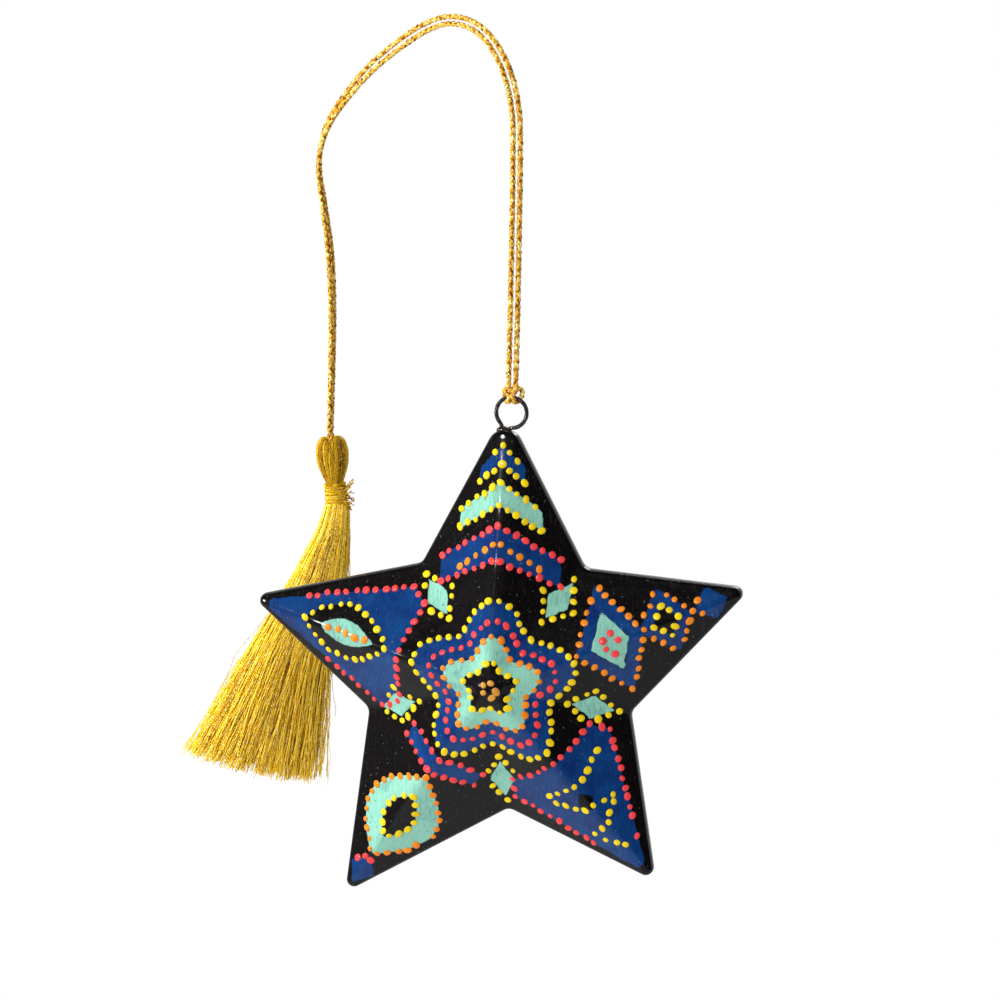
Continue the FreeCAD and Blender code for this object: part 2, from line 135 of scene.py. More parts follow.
# Name, count of threads if not as set, spread and thickness, then the tree's inputs named here.
SKIRT_COLUMNS = ("Steps", "Inner", "Gather", "Ragged", "Seed", "Wander", "Locks")
SKIRT_LAYERS = (
    ("skirt_inner_threads", None, 0.92, 1.0, 24, 0.30, 0.6, 0.10, 61, 0.0010, 0.3),
    ("skirt_middle_threads", None, 0.94, 1.0, 40, 0.60, 0.8, 0.08, 62, 0.0012, 0.5),
    ("skirt_outer_threads", None, 1.10, 1.0, 46, 0.74, 1.7, 0.08, 63, 0.0018, 0.4),
    ("skirt_stray_threads", 46, 1.08, 0.55, 40, 0.9, 0.6, 0.30, 64, 0.0085, 0.2),
)

CAMERA_PLACE = (0.135664, -0.589674, 0.020327)
CAMERA_AXES = ((0.97704473, 0.21168498, 0.02393885), (-0.05731704, 0.15298242, 0.98656532),
               (0.20517884, -0.96529055, 0.16160382))
LAMP_AIM = Vector((0.0, 0.0, -0.09))
# Name, place, size and the setting that holds its power.
LAMPS = (
    ("key_lamp", (-0.22, -0.86, 0.34), 0.12, "key_power"),
    ("side_lamp", (-0.66, -0.62, -0.10), 0.16, "side_power"),
    ("left_lamp", (-0.62, 0.02, 0.18), 0.30, "left_power"),
    ("back_lamp", (0.15, 0.75, 0.40), 0.40, "side_power"),
)


# ---------------------------------------------------------------- sizes and colours to change

class StarSettings(bpy.types.PropertyGroup):
    """The moulded star, its paint and its raised dots."""
    apex_depth: FloatProperty(
        name="Apex Depth", description="How far each face's point stands from the seam",
        default=0.0122, unit="LENGTH")
    ridge_softness: FloatProperty(
        name="Ridge Softness", description="Radius over which the ridges are rounded, in millimetres",
        default=1.15)
    swelling: FloatProperty(
        name="Swelling", description="Unevenness left by hand moulding, in millimetres", default=0.16)
    dot_size: FloatProperty(
        name="Dot Size", description="Radius of a raised dot", default=0.00057, unit="LENGTH")
    dot_height: FloatProperty(
        name="Dot Height", description="How far a dot stands up", default=0.00016, unit="LENGTH")
    dot_gap: FloatProperty(
        name="Dot Gap", description="Distance from one dot to the next, in millimetres", default=1.65)
    ground: FloatVectorProperty(
        name="Ground", description="The lacquered ground", subtype="COLOR", size=4,
        default=(0.0022, 0.0015, 0.0018, 1.0))
    deep_blue: FloatVectorProperty(
        name="Deep Blue", description="The blue paint where it lies thick", subtype="COLOR", size=4,
        default=(0.0012, 0.013, 0.095, 1.0))
    bright_blue: FloatVectorProperty(
        name="Bright Blue", description="The blue paint where the brush left it thin", subtype="COLOR",
        size=4, default=(0.001, 0.060, 0.215, 1.0))
    mint: FloatVectorProperty(
        name="Mint", description="The pale green paint", subtype="COLOR", size=4,
        default=(0.215, 0.48, 0.375, 1.0))


class CordSettings(bpy.types.PropertyGroup):
    """The doubled metallic cord and its hitch."""
    strand_gap: FloatProperty(
        name="Strand Gap", description="Space between the two strands", default=0.00030, unit="LENGTH")
    diameter: FloatProperty(
        name="Diameter", description="Thickness of one strand", default=0.00090, unit="LENGTH")
    pitch: FloatProperty(
        name="Pitch", description="Length in which a yarn goes once round its strand", default=0.0025,
        unit="LENGTH")
    yarn: FloatProperty(
        name="Yarn", description="Radius of one yarn of the plait", default=0.00026, unit="LENGTH")
    # Bright and dark gold are the painted highlight and painted shade along the plait's turns.
    bright: FloatVectorProperty(
        name="Bright Gold", description="Metallic thread at its brightest", subtype="COLOR", size=4,
        default=(0.86, 0.43, 0.045, 1.0))
    dark: FloatVectorProperty(
        name="Dark Gold", description="Metallic thread between the bright turns", subtype="COLOR", size=4,
        default=(0.20, 0.062, 0.003, 1.0))


class TasselSettings(bpy.types.PropertyGroup):
    """The tassel's head, binding and hanging threads."""
    # Bright and dark gold are the painted highlight and painted shade along the tassel's threads.
    bright: FloatVectorProperty(
        name="Bright Gold", description="The tassel's thread at its brightest", subtype="COLOR", size=4,
        default=(1.0, 0.64, 0.008, 1.0))
    dark: FloatVectorProperty(
        name="Dark Gold", description="The tassel's thread between the bright turns", subtype="COLOR", size=4,
        default=(0.26, 0.072, 0.0, 1.0))
    threads: IntProperty(
        name="Threads", description="Threads in each of the skirt's layers", default=640)
    thread: FloatProperty(
        name="Thread", description="Radius of a hanging thread", default=0.000085, unit="LENGTH")
    length: FloatProperty(
        name="Skirt Length", description="Length of the hanging threads", default=0.045, unit="LENGTH")
    width: FloatProperty(
        name="Skirt Width", description="Width of the skirt's lower end", default=0.0252, unit="LENGTH")
    depth: FloatProperty(
        name="Skirt Depth", description="Depth of the skirt's lower end", default=0.0126, unit="LENGTH")
    sweep: FloatProperty(
        name="Sweep", description="How far the skirt's lower end is swept aside", default=-0.0145,
        unit="LENGTH")
    head_threads: IntProperty(
        name="Head Threads", description="Threads folded over the head", default=190)


class StageSettings(bpy.types.PropertyGroup):
    """The floor, light and camera."""
    lens: FloatProperty(
        name="Lens", description="Focal length in millimetres", default=133.59)
    daylight: FloatProperty(
        name="Daylight", description="Strength of the light from all round", default=0.60)
    key_power: FloatProperty(
        name="Key Power", description="Power of the lamp over the camera", default=4.6, unit="POWER")
    side_power: FloatProperty(
        name="Side Power", description="Power of the lamp at the left front and of the one behind",
        default=2.4, unit="POWER")
    left_power: FloatProperty(
        name="Left Power", description="Power of the lamp square to the left", default=7.8, unit="POWER")
    floor_radius: FloatProperty(
        name="Floor Radius", description="Radius of the pale round floor", default=0.9, unit="LENGTH")
    floor_height: FloatProperty(
        name="Floor Height", description="Height of the floor", default=-0.5, unit="LENGTH")


# ---------------------------------------------------------------- nodes

class Wire:
    """A node's output; Python's operators on it add Math nodes."""

    def __init__(self, nodes, socket):
        self.nodes, self.socket = nodes, socket

    def math(self, operation, *values, **settings):
        return self.nodes.add(
            "ShaderNodeMath", dict(enumerate(values)), operation=operation, **settings).out

    def __neg__(self):
        return self.math("MULTIPLY", self, -1.0)

    def most(self, other):
        return self.math("MAXIMUM", self, other)

    def held(self):
        """This value kept between 0 and 1."""
        return self.math("ADD", self, 0.0, use_clamp=True)

    def ramp(self, low, high):
        """0 below low and 1 above high, smooth between."""
        return self.nodes.add(
            "ShaderNodeMapRange", {"Value": self, "From Min": low, "From Max": high, "To Min": 0.0,
            "To Max": 1.0}, interpolation_type="SMOOTHSTEP").out


def add_operators():
    """Gives Wire its functions of one value, and Python's arithmetic with the wire on either side."""
    for name, operation in {"sine": "SINE", "cosine": "COSINE", "whole": "FLOOR", "sign": "SIGN"}.items():
        setattr(Wire, name, lambda self, op=operation: self.math(op, self))
    operations = {"add": "ADD", "sub": "SUBTRACT", "mul": "MULTIPLY", "truediv": "DIVIDE", "mod": "MODULO",
                  "pow": "POWER"}
    for name, operation in operations.items():
        setattr(Wire, f"__{name}__", lambda self, other, op=operation: self.math(op, self, other))
        if name in ("add", "sub", "mul"):
            setattr(Wire, f"__r{name}__", lambda self, other, op=operation: self.math(op, other, self))


add_operators()


class Made:
    """A node just made; its outputs are read by name."""

    def __init__(self, nodes, node):
        self.nodes, self.node = nodes, node

    def __getitem__(self, name):
        return Wire(self.nodes, Nodes.find(self.node.outputs, name))

    @property
    def out(self):
        return self[0]


class Nodes:
    """Makes the nodes of one tree."""

    def __init__(self, tree):
        self.tree = tree

    @staticmethod
    def find(sockets, name):
        shown = [s for s in sockets if s.enabled]
        if isinstance(name, int):
            return shown[name]
        return next(s for s in shown if s.name == name)

    def add(self, kind, values=None, **settings):
        """Adds a node: its type, the values or links of its sockets, and its settings."""
        node = self.tree.nodes.new(kind)
        curve = settings.pop("points", None)
        if curve:
            points = node.mapping.curves[0].points
            while len(points) < len(curve):
                points.new(0.5, 0.5)
            for point, place in zip(points, curve):
                point.location = place
            node.mapping.update()
        for name, value in settings.items():
            setattr(node, name, value)
        for name, value in (values or {}).items():
            socket = self.find(node.inputs, name)
            for item in value if isinstance(value, list) else [value]:
                if isinstance(item, Wire):
                    self.tree.links.new(item.socket, socket)
                else:
                    socket.default_value = item
        return Made(self, node)

    def vector(self, x=0.0, y=0.0, z=0.0):
        return self.add("ShaderNodeCombineXYZ", {"X": x, "Y": y, "Z": z}).out

    def split(self, vector):
        return self.add("ShaderNodeSeparateXYZ", {"Vector": vector})

    def vectors(self, operation, *values, **named):
        return self.add(
            "ShaderNodeVectorMath", {**dict(enumerate(values)), **named}, operation=operation).out

    def scaled(self, vector, factor):
        return self.vectors("SCALE", vector, Scale=factor)

    def noise(self, vector, scale, detail=2.0, roughness=0.5, output="Fac"):
        return self.add(
            "ShaderNodeTexNoise", {"Vector": vector, "Scale": scale, "Detail": detail,
            "Roughness": roughness}, noise_dimensions="3D")[output]

    def drift(self, vector, detail, roughness):
        """A vector that varies smoothly about nought."""
        noise = self.noise(vector, 1.0, detail, roughness, "Color")
        return self.vectors("SUBTRACT", noise, (0.5, 0.5, 0.5))

    def chance(self, index, seed, low=0.0, high=1.0):
        """A random number for each index."""
        return self.add(
            "FunctionNodeRandomValue", {"Min": low, "Max": high, "ID": index, "Seed": seed},
            data_type="FLOAT").out

    def copies(self, line, mode, spacing, count):
        """Copies of a line with even points, by their Length apart or their Count, and each copy's number."""
        line = self.add("GeometryNodeResampleCurve", {"Curve": line, mode: spacing}, mode=mode.upper()).out
        made = self.add(
            "GeometryNodeDuplicateElements", {"Geometry": line, "Amount": count}, domain="SPLINE")
        return made["Geometry"], made["Duplicate Index"]

    def beside(self, angle, reach):
        """A step off a curve, square to it, at an angle about it."""
        normal = self.add("GeometryNodeInputNormal")["Normal"]
        side = self.vectors("CROSS_PRODUCT", self.add("GeometryNodeInputTangent")["Tangent"], normal)
        return self.vectors(
            "ADD", self.scaled(normal, angle.cosine() * reach), self.scaled(side, angle.sine() * reach))

    def mixed(self, share, first, second):
        return self.add("ShaderNodeMix", {"Factor": share, "A": first, "B": second}, data_type="RGBA").out

    def attribute(self, name, output="Fac"):
        return self.add("ShaderNodeAttribute", attribute_name=name)[output]

    def bump(self, height, distance, strength):
        return self.add(
            "ShaderNodeBump", {"Height": height, "Distance": distance, "Strength": strength}).out

    def stretched(self, vector, scale, turn=(0.0, 0.0, 0.0)):
        return self.add("ShaderNodeMapping", {"Vector": vector, "Scale": scale, "Rotation": turn}).out


def new_material(name):
    """An empty material's node maker."""
    material = bpy.data.materials.new(name)
    material.use_nodes = True
    material.node_tree.nodes.clear()
    return material, Nodes(material.node_tree)


def finish_material(nodes, **shader):
    """Adds the Principled shader with the given sockets, whose names have _ for a space, and the output."""
    values = {name.replace("_", " "): value for name, value in shader.items()}
    surface = nodes.add("ShaderNodeBsdfPrincipled", values)["BSDF"]
    nodes.add("ShaderNodeOutputMaterial", {"Surface": surface})


def new_tree(name, inputs):
    """A Geometry Nodes tree with the named inputs; returns the tree, its node maker and its input node."""
    tree = bpy.data.node_groups.new(name, "GeometryNodeTree")
    tree.interface.new_socket("Geometry", in_out="INPUT", socket_type="NodeSocketGeometry")
    tree.interface.new_socket("Geometry", in_out="OUTPUT", socket_type="NodeSocketGeometry")
    for label, kind in inputs.items():
        tree.interface.new_socket(label, in_out="INPUT", socket_type="NodeSocket" + kind.title())
    nodes = Nodes(tree)
    return tree, nodes, nodes.add("NodeGroupInput")


def finish_tree(nodes, geometry, material):
    """Ends a tree in Realize Instances and Set Material; the geometry may be a list to join."""
    if isinstance(geometry, list):
        geometry = nodes.add("GeometryNodeJoinGeometry", {"Geometry": geometry}).out
    geometry = nodes.add("GeometryNodeSetShadeSmooth", {"Geometry": geometry}).out
    geometry = nodes.add("GeometryNodeRealizeInstances", {"Geometry": geometry}).out
    geometry = nodes.add("GeometryNodeSetMaterial", {"Geometry": geometry, "Material": material}).out
    nodes.add("NodeGroupOutput", {"Geometry": geometry})


def kept(nodes, geometry, name, value):
    """Stores a number on each point under a name, for the material to read."""
    return nodes.add(
        "GeometryNodeStoreNamedAttribute", {"Geometry": geometry, "Name": name, "Value": value},
        data_type="FLOAT", domain="POINT").out


def swept(nodes, curve, radius, sides, scale=1.0):
    """A tube along a curve, with the way round it kept as the number "around"."""
    profile = nodes.add(
        "GeometryNodeCurvePrimitiveCircle", {"Resolution": sides, "Radius": radius}, mode="RADIUS").out
    share = nodes.add("GeometryNodeSplineParameter")["Factor"]
    profile = kept(nodes, profile, "around", share)
    return nodes.add(
        "GeometryNodeCurveToMesh", {"Curve": curve, "Profile Curve": profile, "Scale": scale,
        "Fill Caps": True}).out


# ---------------------------------------------------------------- meshes

def linked(name, data):
    """An object for some data, in the scene."""
    obj = bpy.data.objects.new(name, data)
    bpy.context.scene.collection.objects.link(obj)
    return obj


def new_object(name, points, edges=(), faces=(), smooth=True):
    """A mesh object at the origin from points in metres."""
    mesh = bpy.data.meshes.new(name)
    mesh.from_pydata([tuple(map(float, p)) for p in points], edges, faces)
    if smooth and faces:
        mesh.shade_smooth()
    mesh.update()
    return linked(name, mesh)


def grow(obj, tree, inputs):
    """Runs a tree on an object and keeps the result as its own plain mesh."""
    modifier = obj.modifiers.new(tree.name, "NODES")
    modifier.node_group = tree
    for item in tree.interface.items_tree:
        if item.in_out == "INPUT" and item.name in inputs:
            modifier[item.identifier] = inputs[item.name]
    depsgraph = bpy.context.evaluated_depsgraph_get()
    mesh = bpy.data.meshes.new_from_object(
        obj.evaluated_get(depsgraph), preserve_all_data_layers=True, depsgraph=depsgraph)
    obj.modifiers.clear()
    mesh.name = obj.name
    obj.data = mesh
    if not len(mesh.polygons):
        raise RuntimeError(f"the tree {tree.name} made nothing for {obj.name}")
    return obj


def face_outwards(obj):
    """Merges points that coincide and turns every face to the outside."""
    mesh = bmesh.new()
    mesh.from_mesh(obj.data)
    bmesh.ops.remove_doubles(mesh, verts=mesh.verts, dist=1e-7)
    bmesh.ops.recalc_face_normals(mesh, faces=mesh.faces)
    mesh.to_mesh(obj.data)
    mesh.free()


def straight(start, end, steps):
    """Even points from one place to another."""
    return [start + (end - start) * k / steps for k in range(steps + 1)]


def ellipse(middle, across, up, count):
    """Points round an ellipse with these two half axes."""
    angles = [TAU * k / count for k in range(count)]
    return [middle + across * math.cos(angle) + up * math.sin(angle) for angle in angles]


def ring_grid(rings, first_pole=None, last_pole=None):
    """Points and faces of rings of equal count, joined one to the next and closed at the poles."""
    points = [p for ring in rings for p in ring]
    count = len(rings[0])
    faces = []
    for k in range(len(rings) - 1):
        for i in range(count):
            a, b = k * count + i, k * count + (i + 1) % count
            faces.append((a, b, b + count, a + count))
    for pole, start in ((first_pole, 0), (last_pole, (len(rings) - 1) * count)):
        if pole is not None:
            points.append(pole)
            faces += [(start + i, start + (i + 1) % count, len(points) - 1) for i in range(count)]
    return points, faces


def closed_object(name, rings, first_pole, last_pole):
    """A smooth closed form through rings of points, closed at two poles."""
    points, faces = ring_grid(rings, first_pole, last_pole)
    obj = new_object(name, points, (), faces)
    face_outwards(obj)
    obj.data.shade_smooth()
    return obj


def polyline(name, points, cyclic=False):
    """A mesh of edges only, for a tree to follow."""
    count = len(points)
    edges = [(i, (i + 1) % count) for i in range(count if cyclic else count - 1)]
    return new_object(name, points, edges)


# ---------------------------------------------------------------- star outline and paint design

def unit(vector):
    """The vector at length one."""
    return vector / np.linalg.norm(vector)


def star_corners():
    """The star's ten corners, in millimetres from its centre, each with its rounding and 1 for a notch."""
    corners = []
    for i in range(5):
        for bearing, reach, radius in (
                (ARM_BEARINGS[i], ARM_REACH * ARM_SHARES[i], EYE_TIP_RADIUS if i == 0 else TIP_RADIUS),
                (NOTCH_BEARINGS[i], NOTCH_REACH * NOTCH_SHARES[i], NOTCH_RADIUS)):
            angle = math.radians(bearing)
            corners.append((reach * np.array((math.cos(angle), math.sin(angle))), radius, len(corners) % 2))
    return corners


def star_outline(spacing):
    """Points round the rounded outline and their outward directions, in millimetres."""
    corners = star_corners()
    arcs = []
    for i, (corner, radius, inward) in enumerate(corners):
        a = unit(corners[i - 1][0] - corner)
        b = unit(corners[(i + 1) % 10][0] - corner)
        half = math.acos(float(a @ b)) / 2
        cut = radius / math.tan(half)
        centre = corner + unit(a + b) * radius / math.sin(half)
        start, end = corner + a * cut - centre, corner + b * cut - centre
        sweep = math.atan2(start[0] * end[1] - start[1] * end[0], float(start @ end))
        steps = 8 if inward else 14
        arc = []
        for turn in (sweep * k / steps for k in range(steps + 1)):
            spoke = placed(start[None], math.degrees(turn))[0]
            arc.append((centre + spoke, unit(-spoke if inward else spoke)))
        arcs.append(arc)
    points, outward = [], []
    for arc, following in zip(arcs, arcs[1:] + arcs[:1]):
        points += [place for place, _ in arc]
        outward += [direction for _, direction in arc]
        start, end = arc[-1][0], following[0][0]
        between = straight(start, end, max(2, round(np.linalg.norm(end - start) / spacing)))[1:-1]
        points += between
        outward += [arc[-1][1]] * len(between)
    return np.array(points), np.array(outward)


def petals(reach, wave, turn=18.0, count=5, steps=150):
    """A wavy ring about the middle."""
    angle = np.linspace(0, TAU, steps, endpoint=False)
    far = reach + wave * np.cos(count * (angle - math.radians(turn)))
    return np.column_stack((far * np.cos(angle), far * np.sin(angle)))


def leaf(start, end, half_width, fullness=0.85, steps=40):
    """A leaf along an arm, pointed at both ends."""
    share = np.linspace(0, 1, steps)
    side = half_width * np.sin(math.pi * share) ** fullness
    along = start + (end - start) * share
    return np.vstack((np.column_stack((along, side)), np.column_stack((along, -side))[::-1][1:-1]))


def lozenge(middle, half_length, half_width):
    """A lozenge along an arm."""
    return np.array(((middle + half_length, 0), (middle, half_width), (middle - half_length, 0),
                     (middle, -half_width)), float)


def chevron(tip, drop, half_width, thickness):
    """A chevron that points out along an arm, its outer line first."""
    foot = tip - drop - thickness * 0.8
    return np.array(((tip - drop, half_width), (tip, 0), (tip - drop, -half_width),
                     (foot, -half_width), (tip - thickness, 0), (foot, half_width)), float)


def arrow_motif():
    """Chevrons one behind the other."""
    items = []
    for tip, drop, width, thick, paint, ink in (
            (38.0, 3.6, 3.7, 3.0, "blue", "yellow"), (32.2, 4.8, 6.7, 3.6, "mint", "yellow"),
            (25.4, 5.6, 9.8, 5.2, "blue", "coral")):
        band = chevron(tip, drop, width, thick)
        items += [(paint, band), (ink, band[:3], False), (ink, band[3:], False)]
    items.append(("orange", chevron(22.9, 4.4, 6.4, 1.0)[:3], False))
    return items


def arm_panel(inner, outer):
    """A panel that follows an arm's sides from a bowed inner end to near the tip."""
    return np.array(((outer, 0.8), (inner + 2.6, 10.4), (inner, 8.2), (inner + 1.4, 3.4), (inner + 1.8, 0.0),
                     (inner + 1.4, -3.4), (inner, -8.2), (inner + 2.6, -10.4), (outer, -0.8)))


def leaf_motif():
    """A blue panel with a dark leaf and a pale one inside it."""
    panel, dark = arm_panel(14.6, 40.0), leaf(18.6, 33.4, 4.3)
    return [("blue", panel), ("black", dark), ("mint", leaf(21.0, 30.6, 2.1)), ("coral", panel, True),
            ("yellow", dark, True), ("orange", np.array(((22.6, 0), (29.0, 0.0))), False)]


def lozenge_motif():
    """Three lozenges that grow smaller towards the tip."""
    items = []
    for middle, length, width in ((20.2, 5.6, 9.2), (29.4, 4.4, 5.6), (36.8, 3.0, 2.8)):
        items += [("blue", lozenge(middle, length, width)), ("orange", lozenge(middle, length, width), True)]
    dark = lozenge(29.4, 2.1, 2.6)
    return items + [("mint", lozenge(20.2, 3.1, 5.0)), ("coral", lozenge(20.2, 1.3, 2.4), True),
                    ("black", dark), ("yellow", dark, True)]


def bud_motif():
    """A pale bud with an open middle, a band under it and a small lozenge over it."""
    band, tip = chevron(17.4, 2.0, 6.4, 3.0), lozenge(38.0, 2.8, 2.2)
    bud, middle = leaf(18.4, 34.6, 5.9), leaf(22.4, 31.0, 2.5)
    return [("blue", band), ("mint", bud), ("black", middle), ("blue", tip), ("coral", band[:3], False),
            ("coral", band[3:], False), ("orange", bud, True), ("yellow", middle, True), ("coral", tip, True)]


def wedge_motif():
    """A blue panel with a dotted zigzag and a small dark lozenge."""
    panel = arm_panel(15.0, 40.0)
    zigzag = np.array(((19.4, 6.6), (22.2, 1.2), (20.8, -6.0), (26.2, -1.8), (27.2, 4.4), (30.6, 0.4),
                       (30.8, -3.6), (35.4, 0.4)))
    return [("blue", panel), ("black", lozenge(25.2, 2.0, 1.6)), ("coral", panel, True),
            ("yellow", zigzag, False)]


def placed(shape, bearing, scale=1.0):
    """A shape drawn along an arm, turned to the arm's bearing."""
    cos, sin = math.cos(math.radians(bearing)), math.sin(math.radians(bearing))
    return scale * (shape[:, :1] * np.array((cos, sin)) + shape[:, 1:] * np.array((-sin, cos)))


def paint_design(motifs):
    """The painted shapes and rows of dots of one face, with these motifs on its five arms."""
    wide, middle, small = petals(11.8, 2.1), petals(6.9, 1.3), petals(3.8, 0.7)
    shapes = [("blue", wide), ("mint", middle), ("black", small)]
    rows = [("yellow", wide, True), ("coral", petals(9.2, 1.6), True), ("orange", middle, True),
            ("yellow", small, True), ("ochre", petals(1.2, 0.0), True)]
    for motif, bearing, share in zip(motifs, ARM_BEARINGS, ARM_SHARES):
        for ink, shape, *closed in motif():
            (rows if closed else shapes).append((ink, placed(shape, bearing, share), *closed))
    for bearing, share in zip(NOTCH_BEARINGS, NOTCH_SHARES):
        shapes.append(("mint", placed(lozenge(16.6 * share, 3.2, 2.0), bearing)))
        rows.append(("yellow", placed(lozenge(16.6 * share, 4.0, 2.9), bearing), True))
    return shapes, rows


FRONT_DESIGN = paint_design([arrow_motif, lozenge_motif, wedge_motif, bud_motif, leaf_motif])
BACK_DESIGN = paint_design([leaf_motif, bud_motif, arrow_motif, lozenge_motif, wedge_motif])


def edge_distance(points, shape, reach=EDGE_REACH):
    """How far each point is inside a shape, in millimetres, negative outside, between -reach and reach."""
    result = np.full(len(points), -reach)
    low, high = shape.min(0) - reach, shape.max(0) + reach
    near = np.flatnonzero(((points > low) & (points < high)).all(1))
    start, end = shape, np.roll(shape, -1, axis=0)
    run = end - start
    for part in np.array_split(near, max(1, len(near) // 4000)):
        if not len(part):
            continue
        offset = points[part, None] - start
        share = np.clip((offset * run).sum(2) / (run ** 2).sum(1), 0, 1)
        away = np.linalg.norm(offset - share[..., None] * run, axis=2).min(1)
        x, z = points[part, :1], points[part, 1:]
        spans = (start[:, 1] > z) != (end[:, 1] > z)
        rise = np.where(run[:, 1] == 0, 1e-12, run[:, 1])
        crosses = spans & (x < start[:, 0] + (z - start[:, 1]) * run[:, 0] / rise)
        inside = crosses.sum(1) % 2 == 1
        result[part] = np.clip(np.where(inside, away, -away), -reach, reach)
    return result


def swell(points, amount, seed):
    """Slow unevenness over a face, in millimetres."""
    rng = np.random.default_rng(seed)
    total = np.zeros(len(points))
    for wavelength, share in ((31.0, 1.0), (19.0, 0.8), (12.0, 0.5), (7.5, 0.36), (4.2, 0.17)):
        for _ in range(3):
            bearing, phase = rng.uniform(0, TAU, 2)
            wave = TAU / wavelength * (points @ np.array((math.cos(bearing), math.sin(bearing))))
            total += share * np.sin(wave + phase)
    return amount * total / 3


def walked(line, gap, closed):
    """Points at even steps along a line."""
    if closed:
        line = np.vstack((line, line[:1]))
    runs = np.linalg.norm(np.diff(line, axis=0), axis=1)
    place = np.concatenate(([0.0], np.cumsum(runs)))
    count = max(2 if not closed else 3, round(place[-1] / gap))
    stops = np.linspace(0, place[-1], count + (0 if closed else 1), endpoint=not closed)
    return np.column_stack([np.interp(stops, place, line[:, axis]) for axis in (0, 1)])


# ---------------------------------------------------------------- materials

def object_place(nodes):
    """The place on the piece, in metres."""
    return nodes.add("ShaderNodeTexCoord")["Object"]


def lacquer_material(settings):
    """Painted papier-mache under gloss lacquer."""
    material, n = new_material("painted_lacquer")
    place = object_place(n)
    wobble = (n.noise(place, 420.0, 2.0) - 0.5) * 0.7 + (n.noise(place, 900.0, 2.0) - 0.5) * 0.35
    bristle = n.noise(n.stretched(place, (1.0, 0.35, 0.22), (0.0, 0.7, 0.0)), 3200.0, 3.0, 0.6)
    patches = n.noise(place, 260.0, 3.0, 0.6)
    blue = (n.attribute("blue_edge") + wobble).ramp(-0.08, 0.10)
    mint = (n.attribute("mint_edge") + wobble).ramp(-0.08, 0.10)
    worn_blue = (patches * 1.3 + bristle * 0.9 - 0.72).held()
    blue_tone = n.mixed(worn_blue, settings.deep_blue, settings.bright_blue)
    worn_mint = (bristle * 0.8 + patches * 0.9 - 0.80).ramp(0.0, 0.35)
    mint_tone = n.mixed(worn_mint * 0.55, settings.mint, (0.075, 0.22, 0.22, 1.0))
    thin = (patches * 0.7 + bristle * 0.6).ramp(0.86, 1.05)
    grain = n.noise(place, 2600.0, 2.0, 0.6)
    # Lighter brownish streaks along the brush marks in the black ground: the marks are the lacquer's own, but
    # their lighter colour is painted sheen.
    streak_sheen = (bristle * 2.2 + grain * 0.8 + patches * 0.5 - 1.93).held()
    ground = n.mixed(streak_sheen, settings.ground, (0.036, 0.024, 0.021, 1.0))
    colour = n.mixed(blue * (1 - thin * 0.65), ground, blue_tone)
    colour = n.mixed(mint, colour, mint_tone)
    # Pale flecks on the ground and the blue, not on the mint: painted glints where the grain of the lacquer
    # catches the light.
    glint_specks = n.noise(place, 2300.0, 1.0, 0.5).ramp(0.72, 0.78)
    colour = n.mixed(glint_specks * (1 - mint) * 0.5, colour, (0.16, 0.18, 0.18, 1.0))
    dark_specks = n.noise(place, 1900.0, 1.0, 0.5).ramp(0.70, 0.76)
    colour = n.mixed(dark_specks * mint * 0.6, colour, (0.05, 0.09, 0.08, 1.0))
    height = blue.most(mint) * 0.30 + bristle * 0.40 + grain * 0.20 + n.noise(place, 330.0, 2.0) * 0.9
    roughness = 0.24 + bristle * 0.18 + patches * 0.08
    finish_material(
        n, Base_Color=colour, Roughness=roughness, Normal=n.bump(height, 0.00042, 0.8),
        Specular_IOR_Level=0.05, Coat_Weight=0.85, Coat_Roughness=0.09)
    return material


def dot_material():
    """Raised dots of thick paint under the lacquer; each dot's own colour is stored on it."""
    material, n = new_material("dot_paint")
    place = object_place(n)
    tint = n.attribute("dot_colour", "Color")
    uneven = n.noise(place, 1500.0, 2.0)
    colour = n.mixed((uneven * 1.2 - 0.45).held() * 0.5, tint, n.mixed(0.30, tint, (0.34, 0.07, 0.0, 1.0)))
    finish_material(
        n, Base_Color=colour, Roughness=0.28 + uneven * 0.2,
        Normal=n.bump(n.noise(place, 2400.0, 2.0), 0.00006, 0.5), Specular_IOR_Level=0.15, Coat_Weight=0.35,
        Coat_Roughness=0.16)
    return material


def strip_material(settings):
    """The lacquered edge of the paper strip."""
    material, n = new_material("strip_lacquer")
    place = object_place(n)
    fibres = n.noise(n.stretched(place, (0.3, 1.0, 0.3)), 2600.0, 3.0)
    blotch = n.noise(place, 300.0, 2.0)
    colour = n.mixed((blotch * 1.5 - 0.4).held(), settings.ground, (0.013, 0.010, 0.010, 1.0))
    finish_material(
        n, Base_Color=colour, Roughness=0.30 + fibres * 0.2,
        Normal=n.bump(fibres * 0.5 + blotch, 0.00008, 0.6), Coat_Weight=0.9, Coat_Roughness=0.07)
    return material


def wire_material():
    """Dark wire under uneven lacquer."""
    material, n = new_material("lacquered_wire")
    place = object_place(n)
    scuff = n.noise(place, 1800.0, 3.0, 0.6)
    runs = n.noise(place, 500.0, 2.0)
    colour = n.mixed((scuff * 1.6 - 0.6).held(), (0.014, 0.011, 0.016, 1.0), (0.055, 0.045, 0.055, 1.0))
    finish_material(
        n, Base_Color=colour, Roughness=0.24 + scuff * 0.25, Metallic=(runs * 1.2 - 0.25).held() * 0.6,
        Normal=n.bump(runs + scuff * 0.3, 0.00014, 0.6), Coat_Weight=0.7, Coat_Roughness=0.08)
    return material


def drop_material():
    """A hardened drop of lacquer."""
    material, n = new_material("lacquer_drop")
    cloud = n.noise(object_place(n), 1400.0, 2.0)
    colour = n.mixed(cloud, (0.006, 0.005, 0.006, 1.0), (0.030, 0.022, 0.014, 1.0))
    finish_material(
        n, Base_Color=colour, Roughness=0.16 + cloud * 0.18, Normal=n.bump(cloud, 0.00008, 0.4),
        Coat_Weight=0.8, Coat_Roughness=0.05)
    return material


